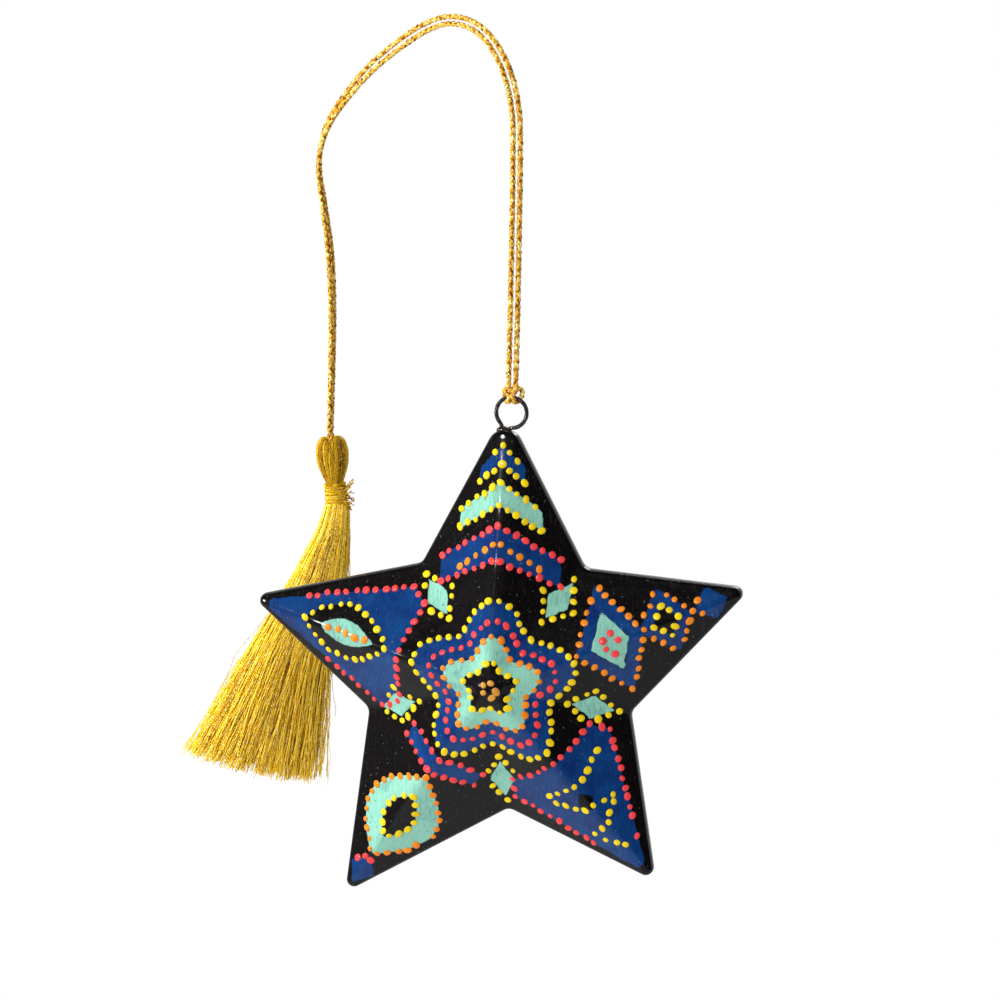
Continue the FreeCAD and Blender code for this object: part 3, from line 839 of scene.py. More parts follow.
def foil_material(name, settings, stripes, glint_scale, depth, metal, tint=(1.0, 1.0, 1.0)):
    """Metallic thread: narrow foil wound round a core, with painted highlight and painted shade along its
    turns and painted pale-gold glints.
    """
    material, n = new_material(name)
    around, along, shade = n.attribute("around"), n.attribute("along"), n.attribute("shade")
    filament = ((around * stripes + along * 900.0 + shade * 29.0) * TAU).sine() * 0.5 + 0.5
    flicker = n.noise(n.vector(along * glint_scale, shade * 370.0, around * 2.0), 1.0, 2.0, 0.6)
    cloud = n.noise(object_place(n), 1200.0, 2.0)
    # The tone from dark to bright gold along the foil's turns is painted highlight and painted shade, mixed
    # with a random tone for each thread.
    tone = (filament * 0.30 + (flicker - 0.5) * 3.4 + (shade - 0.5) * 2.0 + (cloud - 0.5) * 1.0 + 0.86).held()
    dark, bright, painted_glint = (
        tuple(colour[k] * tint[k] for k in range(3)) + (1.0,)
        for colour in (settings.dark, settings.bright, (1.0, 0.93, 0.36)))
    colour = n.mixed(tone, dark, bright)
    # Pale gold spots where the flicker is high: painted glints.
    colour = n.mixed((flicker * 9.0 - 4.6).held() * 0.9, colour, painted_glint)
    finish_material(
        n, Base_Color=colour, Metallic=metal, Roughness=0.26 + cloud * 0.25 + (1 - filament) * 0.08,
        Specular_IOR_Level=0.0, Normal=n.bump(filament + flicker * 0.8, depth, 0.7))
    return material


# ---------------------------------------------------------------- trees

def thread_tubes(n, threads, along, shade, radius, sides, scale=1.0, **moved):
    """Tubes along moved threads, each with the way along it and its shade kept for the material."""
    threads = kept(n, kept(n, threads, "along", along), "shade", shade)
    threads = n.add("GeometryNodeSetPosition", {"Geometry": threads, **moved}).out
    return swept(n, threads, radius, sides, scale)


def braid_tree():
    """A round plait of yarns that follows its object's line, half of them each way round."""
    tree, n, given = new_tree("Braided cord", {
        "Yarns Each Way": "int", "Pitch": "float", "Cord Radius": "float", "Yarn Radius": "float",
        "Step": "float", "Lumpiness": "float", "Seed": "int", "Material": "material"})
    line = n.add("GeometryNodeMeshToCurve", {"Mesh": given["Geometry"]}).out
    yarns, yarn = n.copies(line, "Length", given["Step"], given["Yarns Each Way"] * 2)
    way = 1 - (yarn % 2) * 2
    along = n.add("GeometryNodeSplineParameter")["Length"]
    turns = along / given["Pitch"]
    uneven = n.noise(n.vector(along * 900.0, yarn * 3.7, given["Seed"]), 1.0, 1.0) - 0.5
    angle = way * turns * TAU + (yarn / 2).whole() * TAU / given["Yarns Each Way"]
    angle = angle + uneven * given["Lumpiness"] * 0.8
    # A yarn goes out and in where it crosses those that go the other way round.
    weave = way * (turns * given["Yarns Each Way"] * TAU).cosine()
    lumps = (turns * 2 * TAU).cosine() * 0.17
    path = given["Cord Radius"] - given["Yarn Radius"]
    out = path * (1 + lumps + uneven * given["Lumpiness"]) + weave * given["Yarn Radius"] * 0.30
    tube = thread_tubes(
        n, yarns, along, n.chance(yarn, given["Seed"]), given["Yarn Radius"], 6, 1 + uneven * 0.5,
        Offset=n.beside(angle, out))
    finish_tree(n, tube, given["Material"])
    return tree


def hanging_threads_tree(name, widths, depths, sweeps, drops):
    """Threads that follow a form given by its shares of width, depth, sweep and drop along it."""
    sizes = ("Length", "Width", "Depth", "Sweep", "End Rise", "Ragged", "Inner", "Gather", "Twist", "Crinkle",
             "Crinkles", "Wander", "Locks", "Thread Radius")
    tree, n, given = new_tree(name, {
        "Threads": "int", "Steps": "int", **dict.fromkeys(sizes, "float"), "Root": "vector", "Seed": "int",
        "Material": "material"})
    line = n.add(
        "GeometryNodeCurvePrimitiveLine", {"Start": (0, 0, 0), "End": (0, 0, -1)}, mode="POINTS").out
    threads, thread = n.copies(line, "Count", given["Steps"], given["Threads"])

    def chance(k, low=0.0, high=1.0):
        return n.chance(thread, given["Seed"] + k, low, high)

    def profile(points, place):
        return n.add("ShaderNodeFloatCurve", {"Value": place}, points=points).out

    share = n.add("GeometryNodeSplineParameter")["Factor"]
    level = share * (1 - chance(1) ** 2.0 * given["Ragged"])
    angle = chance(2) * TAU + chance(3, -1.0, 1.0) * given["Twist"] * level
    near, far = chance(4) ** 0.6, chance(5) ** given["Gather"]
    inner = given["Inner"]
    reach = inner + (1 - inner) * (near * (1 - level) + far * level)
    # Neighbouring threads hang together in locks.
    lock = n.noise(n.vector(angle * 3.2, level * 1.2, given["Seed"]), 1.0, 2.0, 0.6)
    reach = reach * (1 + (lock - 0.62) * given["Locks"])
    across, back = angle.cosine() * reach, angle.sine() * reach
    rise = given["End Rise"] * 0.5 * (level * level * level * level) * across
    form = n.vector(
        given["Sweep"] * profile(sweeps, level) + given["Width"] * 0.5 * profile(widths, level) * across,
        given["Depth"] * 0.5 * profile(depths, level) * back,
        -given["Length"] * profile(drops, level) - rise)
    seed = n.vector(0.0, thread * 7.31, given["Seed"] * 1.7)
    started = (level * 7.0).held()
    crinkle = n.drift(
        n.vectors("ADD", seed, n.vector(level * given["Crinkles"] * chance(8, 0.6, 1.5))), 1.0, 0.6)
    wander = n.drift(n.vectors("ADD", seed, n.vector(level * 3.0, 50.0)), 1.0, 0.5)
    place = n.vectors("ADD", given["Root"], form)
    place = n.vectors("ADD", place, n.scaled(crinkle, given["Crinkle"] * started))
    place = n.vectors("ADD", place, n.scaled(wander, given["Wander"] * started * level))
    # Where the lock noise is low, the threads lie further in and are darkened: painted shadow in the gaps
    # between locks, on top of a random tone for each thread.
    tube = thread_tubes(
        n, threads, level * given["Length"], (chance(6) * 0.6 + (lock - 0.5) * 2.2 + 0.25).held(),
        given["Thread Radius"], 3, chance(7, 0.65, 1.35), Position=place)
    finish_tree(n, [given["Geometry"], tube], given["Material"])
    return tree


def winding_tree():
    """Threads wound unevenly round their object's line, every other one the other way."""
    tree, n, given = new_tree("Wound thread", {
        "Strands": "int", "Turns": "float", "Radius": "float", "Thread Radius": "float",
        "Looseness": "float", "Steps": "int", "Seed": "int", "Material": "material"})
    line = n.add("GeometryNodeMeshToCurve", {"Mesh": given["Geometry"]}).out
    threads, strand = n.copies(line, "Count", given["Steps"], given["Strands"])
    along = n.add("GeometryNodeSplineParameter")["Factor"] * given["Turns"]
    angle = (along * TAU + strand * 2.4) * (1 - (strand % 2) * 2)
    uneven = n.drift(n.vector(along * 1.3, strand * 5.3, given["Seed"]), 2.0, 0.6)
    offset = n.vectors("ADD", n.beside(angle, given["Radius"]), n.scaled(uneven, given["Looseness"]))
    tube = thread_tubes(
        n, threads, along * given["Radius"] * TAU, n.chance(strand, given["Seed"], 0.2),
        given["Thread Radius"], 5, Offset=offset)
    finish_tree(n, [given["Geometry"], tube], given["Material"])
    return tree


def dots_tree():
    """Domes of paint set on another object's surface, straight in from each point of this one."""
    tree, n, given = new_tree("Painted dots", {
        "Surface": "object", "Middle": "float", "Dot Radius": "float", "Dot Height": "float",
        "Seed": "int", "Material": "material"})
    surface = n.add(
        "GeometryNodeObjectInfo", {"Object": given["Surface"]}, transform_space="RELATIVE")["Geometry"]
    depth = n.split(n.add("GeometryNodeInputPosition")["Position"])["Y"]
    inwards = n.vector(0.0, -(depth - given["Middle"]).sign(), 0.0)
    ray = n.add(
        "GeometryNodeRaycast", {"Target Geometry": surface, "Ray Direction": inwards, "Ray Length": 0.1})
    points = n.add("GeometryNodeMeshToPoints", {"Mesh": given["Geometry"], "Radius": 0.001}).out
    points = n.add(
        "GeometryNodeStoreNamedAttribute", {"Geometry": points, "Name": "facing",
        "Value": ray["Hit Normal"]}, data_type="FLOAT_VECTOR", domain="POINT").out
    points = n.add("GeometryNodeSetPosition", {"Geometry": points, "Position": ray["Hit Position"]}).out
    facing = n.add(
        "GeometryNodeInputNamedAttribute", {"Name": "facing"}, data_type="FLOAT_VECTOR")["Attribute"]
    index = n.add("GeometryNodeInputIndex")["Index"]

    def chance(k, low, high):
        return n.chance(index, given["Seed"] + k, low, high)

    size = given["Dot Radius"] * chance(1, 0.82, 1.20)
    scale = n.vector(
        size * chance(2, 0.92, 1.22), size * chance(3, 0.88, 1.04), given["Dot Height"] * chance(4, 0.8, 1.2))
    turn = n.add("FunctionNodeAlignRotationToVector", {"Vector": facing}, axis="Z").out
    spin = n.add("FunctionNodeEulerToRotation", {"Euler": n.vector(0.0, 0.0, chance(5, 0.0, TAU))}).out
    turn = n.add(
        "FunctionNodeRotateRotation", {"Rotation": turn, "Rotate By": spin}, rotation_space="LOCAL").out
    dome = n.add("GeometryNodeMeshUVSphere", {"Segments": 10, "Rings": 6, "Radius": 1.0})["Mesh"]
    domes = n.add(
        "GeometryNodeInstanceOnPoints", {"Points": points, "Instance": dome, "Rotation": turn,
        "Scale": scale}).out
    finish_tree(n, domes, given["Material"])
    return tree


# ---------------------------------------------------------------- cord and hitch

def half_pair(settings):
    """How far each strand of the pair is from the cord's own line."""
    return (settings.diameter + settings.strand_gap) / 2


def strand_route(side, settings):
    """The route of one of the two strands, beside the cord's own line."""
    reach = side * half_pair(settings)
    route = [Vector(p) for p in CORD_ROUTE]
    points = []
    for i, point in enumerate(route):
        # Both ends of the cord hang straight.
        if i < 2:
            along = UP
        elif i > len(route) - 3:
            along = -UP
        else:
            along = (route[i + 1] - route[i - 1]).normalized()
        aside = along.cross(Vector((0.0, 1.0, 0.0))).normalized()
        behind = along.cross(aside)
        turn = math.radians(PAIR_TURNS[i])
        points.append(point + aside * reach * math.cos(turn) + behind * reach * math.sin(turn))
    return points


def nurbs_line(name, points):
    """Points read from the smooth spline that has the route as its control points."""
    curve = bpy.data.curves.new(name, "CURVE")
    curve.dimensions = "3D"
    spline = curve.splines.new("NURBS")
    spline.points.add(len(points) - 1)
    for target, point in zip(spline.points, points):
        target.co = (*point, 1.0)
    spline.order_u = 3
    spline.use_endpoint_u = True
    spline.resolution_u = 24
    obj = linked(name, curve)
    depsgraph = bpy.context.evaluated_depsgraph_get()
    mesh = bpy.data.meshes.new_from_object(obj.evaluated_get(depsgraph))
    line = [v.co.copy() for v in mesh.vertices]
    bpy.data.objects.remove(obj)
    bpy.data.meshes.remove(mesh)
    return line


def plaited(name, paths, seed, inputs):
    """A plait along each path, which is a list of points and whether it closes."""
    tree = bpy.data.node_groups["Braided cord"]
    return [grow(polyline(f"{name}_{k}", path, cyclic), tree, {**inputs, "Seed": seed + k})
            for k, (path, cyclic) in enumerate(paths)]


def join(name, pieces):
    """One object from several meshes that share a material."""
    with bpy.context.temp_override(
            active_object=pieces[0], object=pieces[0], selected_objects=pieces,
            selected_editable_objects=pieces):
        bpy.ops.object.join()
    pieces[0].name = name
    pieces[0].data.name = name
    return pieces[0]


class MakeCords(bpy.types.Operator):
    """Make the two strands of the plaited metallic cord"""
    bl_idname = "ornament.make_cords"
    bl_label = "Make Cords"

    def execute(self, context):
        settings = context.scene.ornament.cord
        tree = braid_tree()
        foil = foil_material("braided_foil", settings, 3.0, 1500.0, 0.00005, 0.35)
        for name, side, length in (("left_strand", 1, 0.15243), ("right_strand", -1, 0.15565)):
            line = nurbs_line(name + "_line", strand_route(side, settings))
            strand = polyline("braided_" + name, line)
            grow(strand, tree, {
                "Yarns Each Way": 2, "Pitch": settings.pitch, "Cord Radius": settings.diameter / 2,
                "Yarn Radius": settings.yarn, "Step": 0.00016, "Lumpiness": 0.5, "Seed": 3 + side,
                "Material": foil})
            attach(strand, "cord")
            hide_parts(name)
            line[0]
        return {"FINISHED"}


class MakeHitch(bpy.types.Operator):
    """Make the hitch that holds the wire eye"""
    bl_idname = "ornament.make_hitch"
    bl_label = "Make Hitch"

    def execute(self, context):
        settings = context.scene.ornament.cord
        paths = [(self.wrap(-1, 0.86, 1.02), True), (self.wrap(1, 0.98, 1.12), True), (self.collar(), True)]
        for side in (-1, 1):
            top = STAR_PIVOT + Vector((side * half_pair(settings), 0, 0.25 * MM))
            foot = EYE_AXIS + Vector((side * 0.52, 0, 0.5)) * MM
            paths.append((straight(top, foot, 8), False))
        runs = plaited("hitch_run", paths, 20, {
            "Yarns Each Way": 2, "Pitch": settings.pitch * 0.8, "Cord Radius": KNOTTED_CORD_RADIUS,
            "Yarn Radius": settings.yarn * 0.92, "Step": 0.00014, "Lumpiness": 0.6,
            "Material": bpy.data.materials["braided_foil"]})
        hitch = join("braided_hitch", runs[:3])
        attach(hitch, "hitch")
        bend = join("hitch_strands", runs[3:])
        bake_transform(bend)
        for piece in (hitch, bend):
            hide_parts("hitch_knot")
        return {"FINISHED"}

    @staticmethod
    def wrap(side, half_width, half_height):
        """One of two wraps round the wire, turned to the front, which lean apart at the top like ears."""
        turn = 0.85
        centre = EYE_AXIS + Vector((side * 0.88, 0, half_height - 0.76)) * MM
        across = Vector((side * math.cos(turn), math.sin(turn), 0)) * half_width * MM
        lean = Vector((side * 0.16, 0, 1)) * half_height * MM
        return ellipse(centre, across, lean, 36)

    @staticmethod
    def collar():
        """The bight, which sags across the front of the pair and closes behind it."""
        points = []
        for k in range(48):
            across, behind = math.cos(TAU * k / 48), math.sin(TAU * k / 48)
            sag = (0.28 if behind < 0 else 0.056) * behind * behind
            points.append(EYE_AXIS + Vector((1.02 * across, 0.86 * behind, 1.30 + 0.14 * across - sag)) * MM)
        return points


# ---------------------------------------------------------------- star, dots and eye

def facet_depth(points, reach_angles, reaches, apex_depth):
    """Depth of the flat facets over each point of a face, in millimetres."""
    angle = np.arctan2(points[:, 1], points[:, 0])
    reach = np.interp(angle, reach_angles, reaches, period=TAU)
    share = np.linalg.norm(points, axis=1) / reach
    return RIM_HALF_DEPTH + (apex_depth - RIM_HALF_DEPTH) * (1 - share)


def star_place(flat, depth):
    """Places in metres of points given in the star's plane and their depth, in millimetres."""
    return np.column_stack((flat[:, 0], np.broadcast_to(depth, len(flat)), flat[:, 1])) * MM + STAR_CENTRE


class MakeStar(bpy.types.Operator):
    """Make the moulded star and paint it"""
    bl_idname = "ornament.make_star"
    bl_label = "Make Star"

    def execute(self, context):
        settings = context.scene.ornament.star
        outline, outward = star_outline(OUTLINE_STEP)
        star = self.make_form(settings, outline, outward)
        self.store_paint(star)
        star.data.materials.append(lacquer_material(settings))
        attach(star, "star")
        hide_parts("front_shell", "back_shell")
        self.make_strip(settings, outline, outward)
        return {"FINISHED"}

    def make_form(self, settings, outline, outward):
        """Both halves: a rounded rim, then rings of each face up to its point, softened at the ridges."""
        apex = settings.apex_depth / MM
        rim = []
        for k in range(RIM_STEPS + 1):
            angle = RIM_LAST_ANGLE * k / RIM_STEPS
            depth = RIM_HALF_DEPTH - RIM_ROUNDING * (math.sin(RIM_LAST_ANGLE) - math.sin(angle))
            rim.append((depth, outline - outward * RIM_ROUNDING * (1 - math.cos(angle))))
        last = rim[-1][1]
        bearings = np.arctan2(last[:, 1], last[:, 0])
        order = np.argsort(bearings)
        reach = bearings[order], np.linalg.norm(last, axis=1)[order]
        shares = 1 - np.linspace(0, 1, FACE_RINGS + 2)[1:-1]
        flat = np.vstack([last * share for share in shares] + [np.zeros((1, 2))])
        spread = [np.zeros(2)] + [
            settings.ridge_softness * share * np.array((math.cos(a), math.sin(a)))
            for share, count in RIDGE_SAMPLES for a in np.linspace(0, TAU, count, endpoint=False)]
        soft = sum(facet_depth(flat + offset, *reach, apex) for offset in spread) / len(spread)
        sharp = facet_depth(flat, *reach, apex)
        away = np.array([np.linalg.norm(last - p, axis=1).min() for p in flat])
        inland = np.clip(away / RIM_BLEND, 0, 1)
        inland = inland * inland * (3 - 2 * inland)
        halves, poles = [], []
        for side, seed in ((-1, 11), (1, 12)):
            uneven = swell(flat, settings.swelling, seed) * np.clip(away / SWELL_BLEND, 0, 1)
            face = star_place(flat, side * (sharp + (soft - sharp) * inland + uneven))
            halves.append([star_place(ring, side * depth) for depth, ring in rim]
                          + list(face[:-1].reshape(len(shares), len(last), 3)))
            poles.append(face[-1])
        return closed_object("painted_star", halves[0][::-1] + halves[1], *poles)

    def store_paint(self, star):
        """Stores how far each point is inside the blue and the mint paint."""
        place = np.array([v.co for v in star.data.vertices])
        flat = (place[:, (0, 2)] - STAR_CENTRE[[0, 2]]) / MM
        front = place[:, 1] < STAR_CENTRE[1]
        edges = {paint: np.full(len(flat), -EDGE_REACH) for paint in ("blue", "mint")}
        for facing, (shapes, _) in ((front, FRONT_DESIGN), (~front, BACK_DESIGN)):
            for ink, shape in shapes:
                inside = edge_distance(flat[facing], shape)
                for paint, edge in edges.items():
                    edge[facing] = (np.maximum(edge[facing], inside) if ink == paint
                                    else np.minimum(edge[facing], -inside))
        for paint, edge in edges.items():
            attribute = star.data.attributes.new(paint + "_edge", "FLOAT", "POINT")
            attribute.data.foreach_set("value", edge.astype(np.float32))

    def make_strip(self, settings, outline, outward):
        """The paper strip, which stands a hair proud of the rim over the seam."""
        phase = np.random.default_rng(5).uniform(0, TAU, 4)
        travel = np.linspace(0, TAU, len(outline), endpoint=False)
        wave = 0.05 * np.sin(23 * travel + phase[0]) + 0.04 * np.sin(41 * travel + phase[1])
        rings = [star_place(outline + outward * proud, depth + wave * abs(depth))
                 for depth, proud in STRIP_SECTION]
        points, faces = ring_grid(rings + rings[:1])
        strip = new_object("rim_strip", points, (), faces)
        face_outwards(strip)
        strip.data.materials.append(strip_material(settings))
        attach(strip, "star")
        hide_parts("seam_strip")


class MakeDots(bpy.types.Operator):
    """Set the raised dots on the star's two faces"""
    bl_idname = "ornament.make_dots"
    bl_label = "Make Dots"

    def execute(self, context):
        settings = context.scene.ornament.star
        outline, _ = star_outline(OUTLINE_STEP)
        rng = np.random.default_rng(17)
        points, colours = [], []
        for side, (_, rows) in ((-1, FRONT_DESIGN), (1, BACK_DESIGN)):
            laid = np.zeros((0, 2))
            for ink, line, closed in rows:
                for spot in walked(line, settings.dot_gap, closed):
                    spot = spot + rng.normal(0, DOT_STRAY, 2)
                    tint = np.array(INKS[ink]) * rng.uniform(0.86, 1.06)
                    crowded = len(laid) and np.linalg.norm(laid - spot, axis=1).min() < DOT_LEAST_SPACING
                    if crowded or np.linalg.norm(outline - spot, axis=1).min() < DOT_EDGE_MARGIN:
                        continue
                    laid = np.vstack((laid, spot))
                    points.append(star_place(spot[None], side * RAY_START)[0])
                    colours.append((*np.clip(tint, 0, 1), 1.0))
        dots = new_object("raised_dots", points)
        attribute = dots.data.attributes.new("dot_colour", "FLOAT_COLOR", "POINT")
        attribute.data.foreach_set("color", np.array(colours, np.float32).ravel())
        grow(dots, dots_tree(), {
            "Surface": bpy.data.objects["painted_star"], "Middle": float(STAR_CENTRE[1]),
            "Dot Radius": settings.dot_size, "Dot Height": settings.dot_height, "Seed": 4,
            "Material": dot_material()})
        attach(dots, "star")
        return {"FINISHED"}


def tube_rings(line, radius, sides, lumps, seed):
    """Rings round a line that doesn't close, with slow changes of thickness."""
    phase = np.random.default_rng(seed).uniform(0, TAU, 3)
    rings = []
    normal = None
    for k, point in enumerate(line):
        along = (line[min(k + 1, len(line) - 1)] - line[max(k - 1, 0)]).normalized()
        if normal is None:
            normal = along.orthogonal().normalized()
        normal = (normal - along * normal.dot(along)).normalized()
        turn = TAU * k / len(line)
        thick = radius * (1 + lumps * (math.sin(9 * turn + phase[0]) + math.sin(17 * turn + phase[1])) / 2)
        rings.append(ellipse(point, normal * thick, along.cross(normal) * thick, sides))
    return rings


class MakeEye(bpy.types.Operator):
    """Make the wire eye and the drop of lacquer at its foot"""
    bl_idname = "ornament.make_eye"
    bl_label = "Make Wire Eye"

    def execute(self, context):
        self.make_wire()
        self.make_drop()
        return {"FINISHED"}

    @staticmethod
    def leg(side, offset, curl):
        """A leg out of the tip, bent into the ring, and the bearing at which it meets the ring.

        Places are in millimetres from the ring's centre; the offset is from the star's centre line.
        """
        foot = (STAR_CENTRE[0] - EYE_AXIS.x) / MM + offset
        middle = foot + side * curl
        drop = math.sqrt((EYE_RING_RADIUS + curl) ** 2 - middle ** 2)
        # It rises 6 mm from an end that is splayed by 0.9 mm.
        points = [(foot + side * 0.9 * ((11 - k) / 11) ** 2, 0.5 * k - 6.0 - drop) for k in range(12)]
        first = math.pi if side > 0 else 0.0
        last = math.atan2(drop, -middle)
        for k in range(9):
            angle = first + (last - first) * k / 8
            points.append((middle + curl * math.cos(angle), curl * math.sin(angle) - drop))
        return points, math.atan2(-drop, middle)

    def make_wire(self):
        """The ring and its two legs, one wire."""
        left, start = self.leg(-1, -1.35, 1.2)
        right, end = self.leg(1, -0.35, 0.8)
        sweep = (start - end) % TAU
        ring = [(EYE_RING_RADIUS * math.cos(start - sweep * k / 72),
                 EYE_RING_RADIUS * math.sin(start - sweep * k / 72)) for k in range(1, 72)]
        centre = EYE_AXIS - UP * EYE_RING_RADIUS * MM
        line = [centre + Vector((x, 0.0, z)) * MM for x, z in left + ring + right[::-1]]
        eye = closed_object("wire_ring", tube_rings(line, WIRE_RADIUS * MM, 14, 0.07, 8), line[0], line[-1])
        eye.data.materials.append(wire_material())
        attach(eye, "star")
        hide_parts("wire_eye")

    def make_drop(self):
        """An uneven flat drop round the wire where it enters the tip."""
        middle = Vector(STAR_CENTRE) + Vector((-0.9, 0.0, 40.35)) * MM
        half = Vector((1.15, 0.80, 0.62)) * MM
        rings = []
        for tilt in (math.pi * k / 12 for k in range(1, 12)):
            ring = []
            for turn in (TAU * i / 24 for i in range(24)):
                lump = 1 + 0.10 * math.sin(2 * turn + 0.7) + 0.07 * math.sin(3 * turn + 2.0 * tilt)
                rise = 1 + 0.35 * math.cos(turn - 2.4) * math.sin(tilt)
                ring.append(middle + half * Vector((
                    math.sin(tilt) * lump * math.cos(turn), math.sin(tilt) * lump * math.sin(turn),
                    math.cos(tilt) * rise)))
            rings.append(ring)
        drop = closed_object("lacquer_collar", rings, middle + UP * half.z, middle - UP * half.z)
        drop.data.materials.append(drop_material())
        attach(drop, "star")
        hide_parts("eye_bead")


# ---------------------------------------------------------------- tassel

def lofted_core(name, sections):
    """A closed form through level ellipses, each a middle, a half width with its rise, and a half depth."""
    rings = [ellipse(middle, half_width, Vector((0, half_depth, 0)), 36)
             for middle, half_width, half_depth in sections]
    return closed_object(name, rings, sections[0][0], sections[-1][0])


class MakeTassel(bpy.types.Operator):
    """Make the tassel's head, binding, loose ends and skirt"""
    bl_idname = "ornament.make_tassel"
    bl_label = "Make Tassel"

    def execute(self, context):
        everything = context.scene.ornament
        settings = everything.tassel
        foil = foil_material("tassel_foil", settings, 1.0, 1400.0, 0.00004, 0.12)
        # A darker, browner copy of the tassel's foil for the head, binding and cut ends: painted shade.
        bound_foil = foil_material("bound_foil", settings, 1.0, 1400.0, 0.00004, 0.12, (0.70, 0.59, 0.30))
        self.make_head(settings, bound_foil)
        self.make_binding(bound_foil)
        self.make_tuft(bound_foil)
        self.make_skirt(settings, foil)
        self.make_end_knot(everything.cord)
        return {"FINISHED"}

    def make_head(self, settings, foil):
        """The bulb of folded threads and the neck under it."""
        sections = [(HEAD_TOP - UP * drop * MM, Vector(((radius - 0.12) * MM, 0, 0)), (radius - 0.12) * MM)
                    for radius, drop in HEAD_PROFILE]
        head = lofted_core("folded_head", sections)
        shares = np.linspace(0, 1, len(HEAD_PROFILE)).tolist()
        radii, drops = zip(*HEAD_PROFILE)
        widest = 2.75
        widths = [(share, radius / widest) for share, radius in zip(shares, radii)]
        falls = [(share, drop / drops[-1]) for share, drop in zip(shares, drops)]
        tree = hanging_threads_tree("Folded threads", widths, widths, [(0.0, 0.0), (1.0, 0.0)], falls)
        grow(head, tree, {
            "Threads": settings.head_threads, "Steps": 30, "Length": drops[-1] * MM,
            "Width": 2 * widest * MM, "Depth": 2 * widest * MM, "Sweep": 0.0, "End Rise": 0.0, "Ragged": 0.0,
            "Inner": 0.94, "Gather": 0.6, "Locks": 0.05, "Twist": 0.35, "Crinkle": 0.00016,
            "Crinkles": 26.0, "Wander": 0.0003, "Thread Radius": 0.00016, "Root": tuple(HEAD_TOP),
            "Seed": 41, "Material": foil})
        self.part_front(head)
        head.data.transform(HEAD_TURN)
        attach(head, "tassel_head")
        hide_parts("tassel_head")

    def part_front(self, head):
        """Lowers the folds at the front of the top, where they part round the cord."""
        place = np.array([v.co for v in head.data.vertices])
        across, behind, below = ((place - np.array(HEAD_TOP)) / MM).T
        share = np.exp(-(across / 0.55) ** 2) * np.clip(1 + below / 3.2, 0, 1)
        share *= np.clip((-behind - 0.4) / 0.8, 0, 1)
        place[:, 2] -= 1.0 * MM * share
        place[:, 1] += 0.3 * MM * share
        head.data.vertices.foreach_set("co", place.ravel())
        head.data.update()

    def make_binding(self, foil):
        """Thread wound both ways round the neck."""
        binding = polyline("neck_winding", straight(NECK_TOP, NECK_TOP - UP * 3.9 * MM, 12))
        grow(binding, winding_tree(), {
            "Strands": 7, "Turns": 6.0, "Radius": 0.00170, "Thread Radius": 0.00018, "Looseness": 0.0007,
            "Steps": 170, "Seed": 9, "Material": foil})
        binding.data.transform(HEAD_TURN)
        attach(binding, "tassel_head")
        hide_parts("neck_binding")

    def make_tuft(self, foil):
        """The binding's cut ends, frayed to one side."""
        root = TASSEL_PIVOT + Vector((1.4, -0.5, -11.2)) * MM
        rng = np.random.default_rng(23)
        paths = []
        for k in range(34):
            rise, back = rng.uniform(-0.75, 0.85), rng.uniform(-0.5, 0.4)
            reach, curl = rng.uniform(1.5, 3.2), rng.uniform(-0.6, 0.6)
            start = root + Vector((0, rng.uniform(-0.5, 0.5), rng.uniform(-0.9, 0.9))) * MM
            path = [start + Vector((
                s, back * s + 0.10 * math.sin(7 * s + k),
                rise * s + curl * s * s + 0.05 * math.sin(11 * s + 2 * k))) * reach * MM
                for s in (i / 8 for i in range(9))]
            paths.append((path, False))
        tuft = join("frayed_ends", plaited("tuft_thread", paths, 60, {
            "Yarns Each Way": 1, "Pitch": 0.0011, "Cord Radius": 0.00012, "Yarn Radius": 0.00006,
            "Step": 0.00014, "Lumpiness": 1.2, "Material": foil}))
        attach(tuft, "tassel_head")
        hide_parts("tie_tuft")

    def make_core(self, name, settings):
        """The closed core that fills the skirt behind its innermost threads."""
        sections = []
        for level in np.linspace(0.02, 0.86, 18):
            width, depth, sweep = (float(np.interp(level, *zip(*form))) for form in SKIRT_FORM)
            keep = 0.78 - 0.30 * level
            middle = SKIRT_PIVOT + Vector((settings.sweep * sweep, 0, -settings.length * level))
            half_width = Vector((settings.width * width / 2, 0, -0.002 * level ** 4)) * keep
            sections.append((middle, half_width, settings.depth * depth / 2 * keep))
        return lofted_core(name, sections)

    def make_skirt(self, settings, foil):
        """Crinkled threads in layers over a closed core."""
        # The threads start above the pivot, in the binding, so the form is pushed down a little.
        widths, depths, sweeps = (
            [(0.05 + 0.95 * level if level else 0.0, share) for level, share in form] for form in SKIRT_FORM)
        tree = hanging_threads_tree("Hanging threads", widths, depths, sweeps, [(0.0, 0.0), (1.0, 1.0)])
        root_rise = 2.2 * MM
        start = SKIRT_PIVOT + UP * root_rise
        for name, count, spread, thick, *values in SKIRT_LAYERS:
            inner = name == "skirt_inner_threads"
            piece = self.make_core(name, settings) if inner else new_object(name, [start])
            grow(piece, tree, {
                **dict(zip(SKIRT_COLUMNS, values)), "Threads": count or settings.threads,
                "Length": settings.length + root_rise, "Width": settings.width * spread,
                "Depth": settings.depth * spread, "Sweep": settings.sweep, "End Rise": 0.004, "Twist": 0.5,
                "Crinkle": 0.0005, "Crinkles": 17.0, "Thread Radius": settings.thread * thick,
                "Root": tuple(start), "Material": foil})
            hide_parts("tassel_skirt")
            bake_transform(piece)

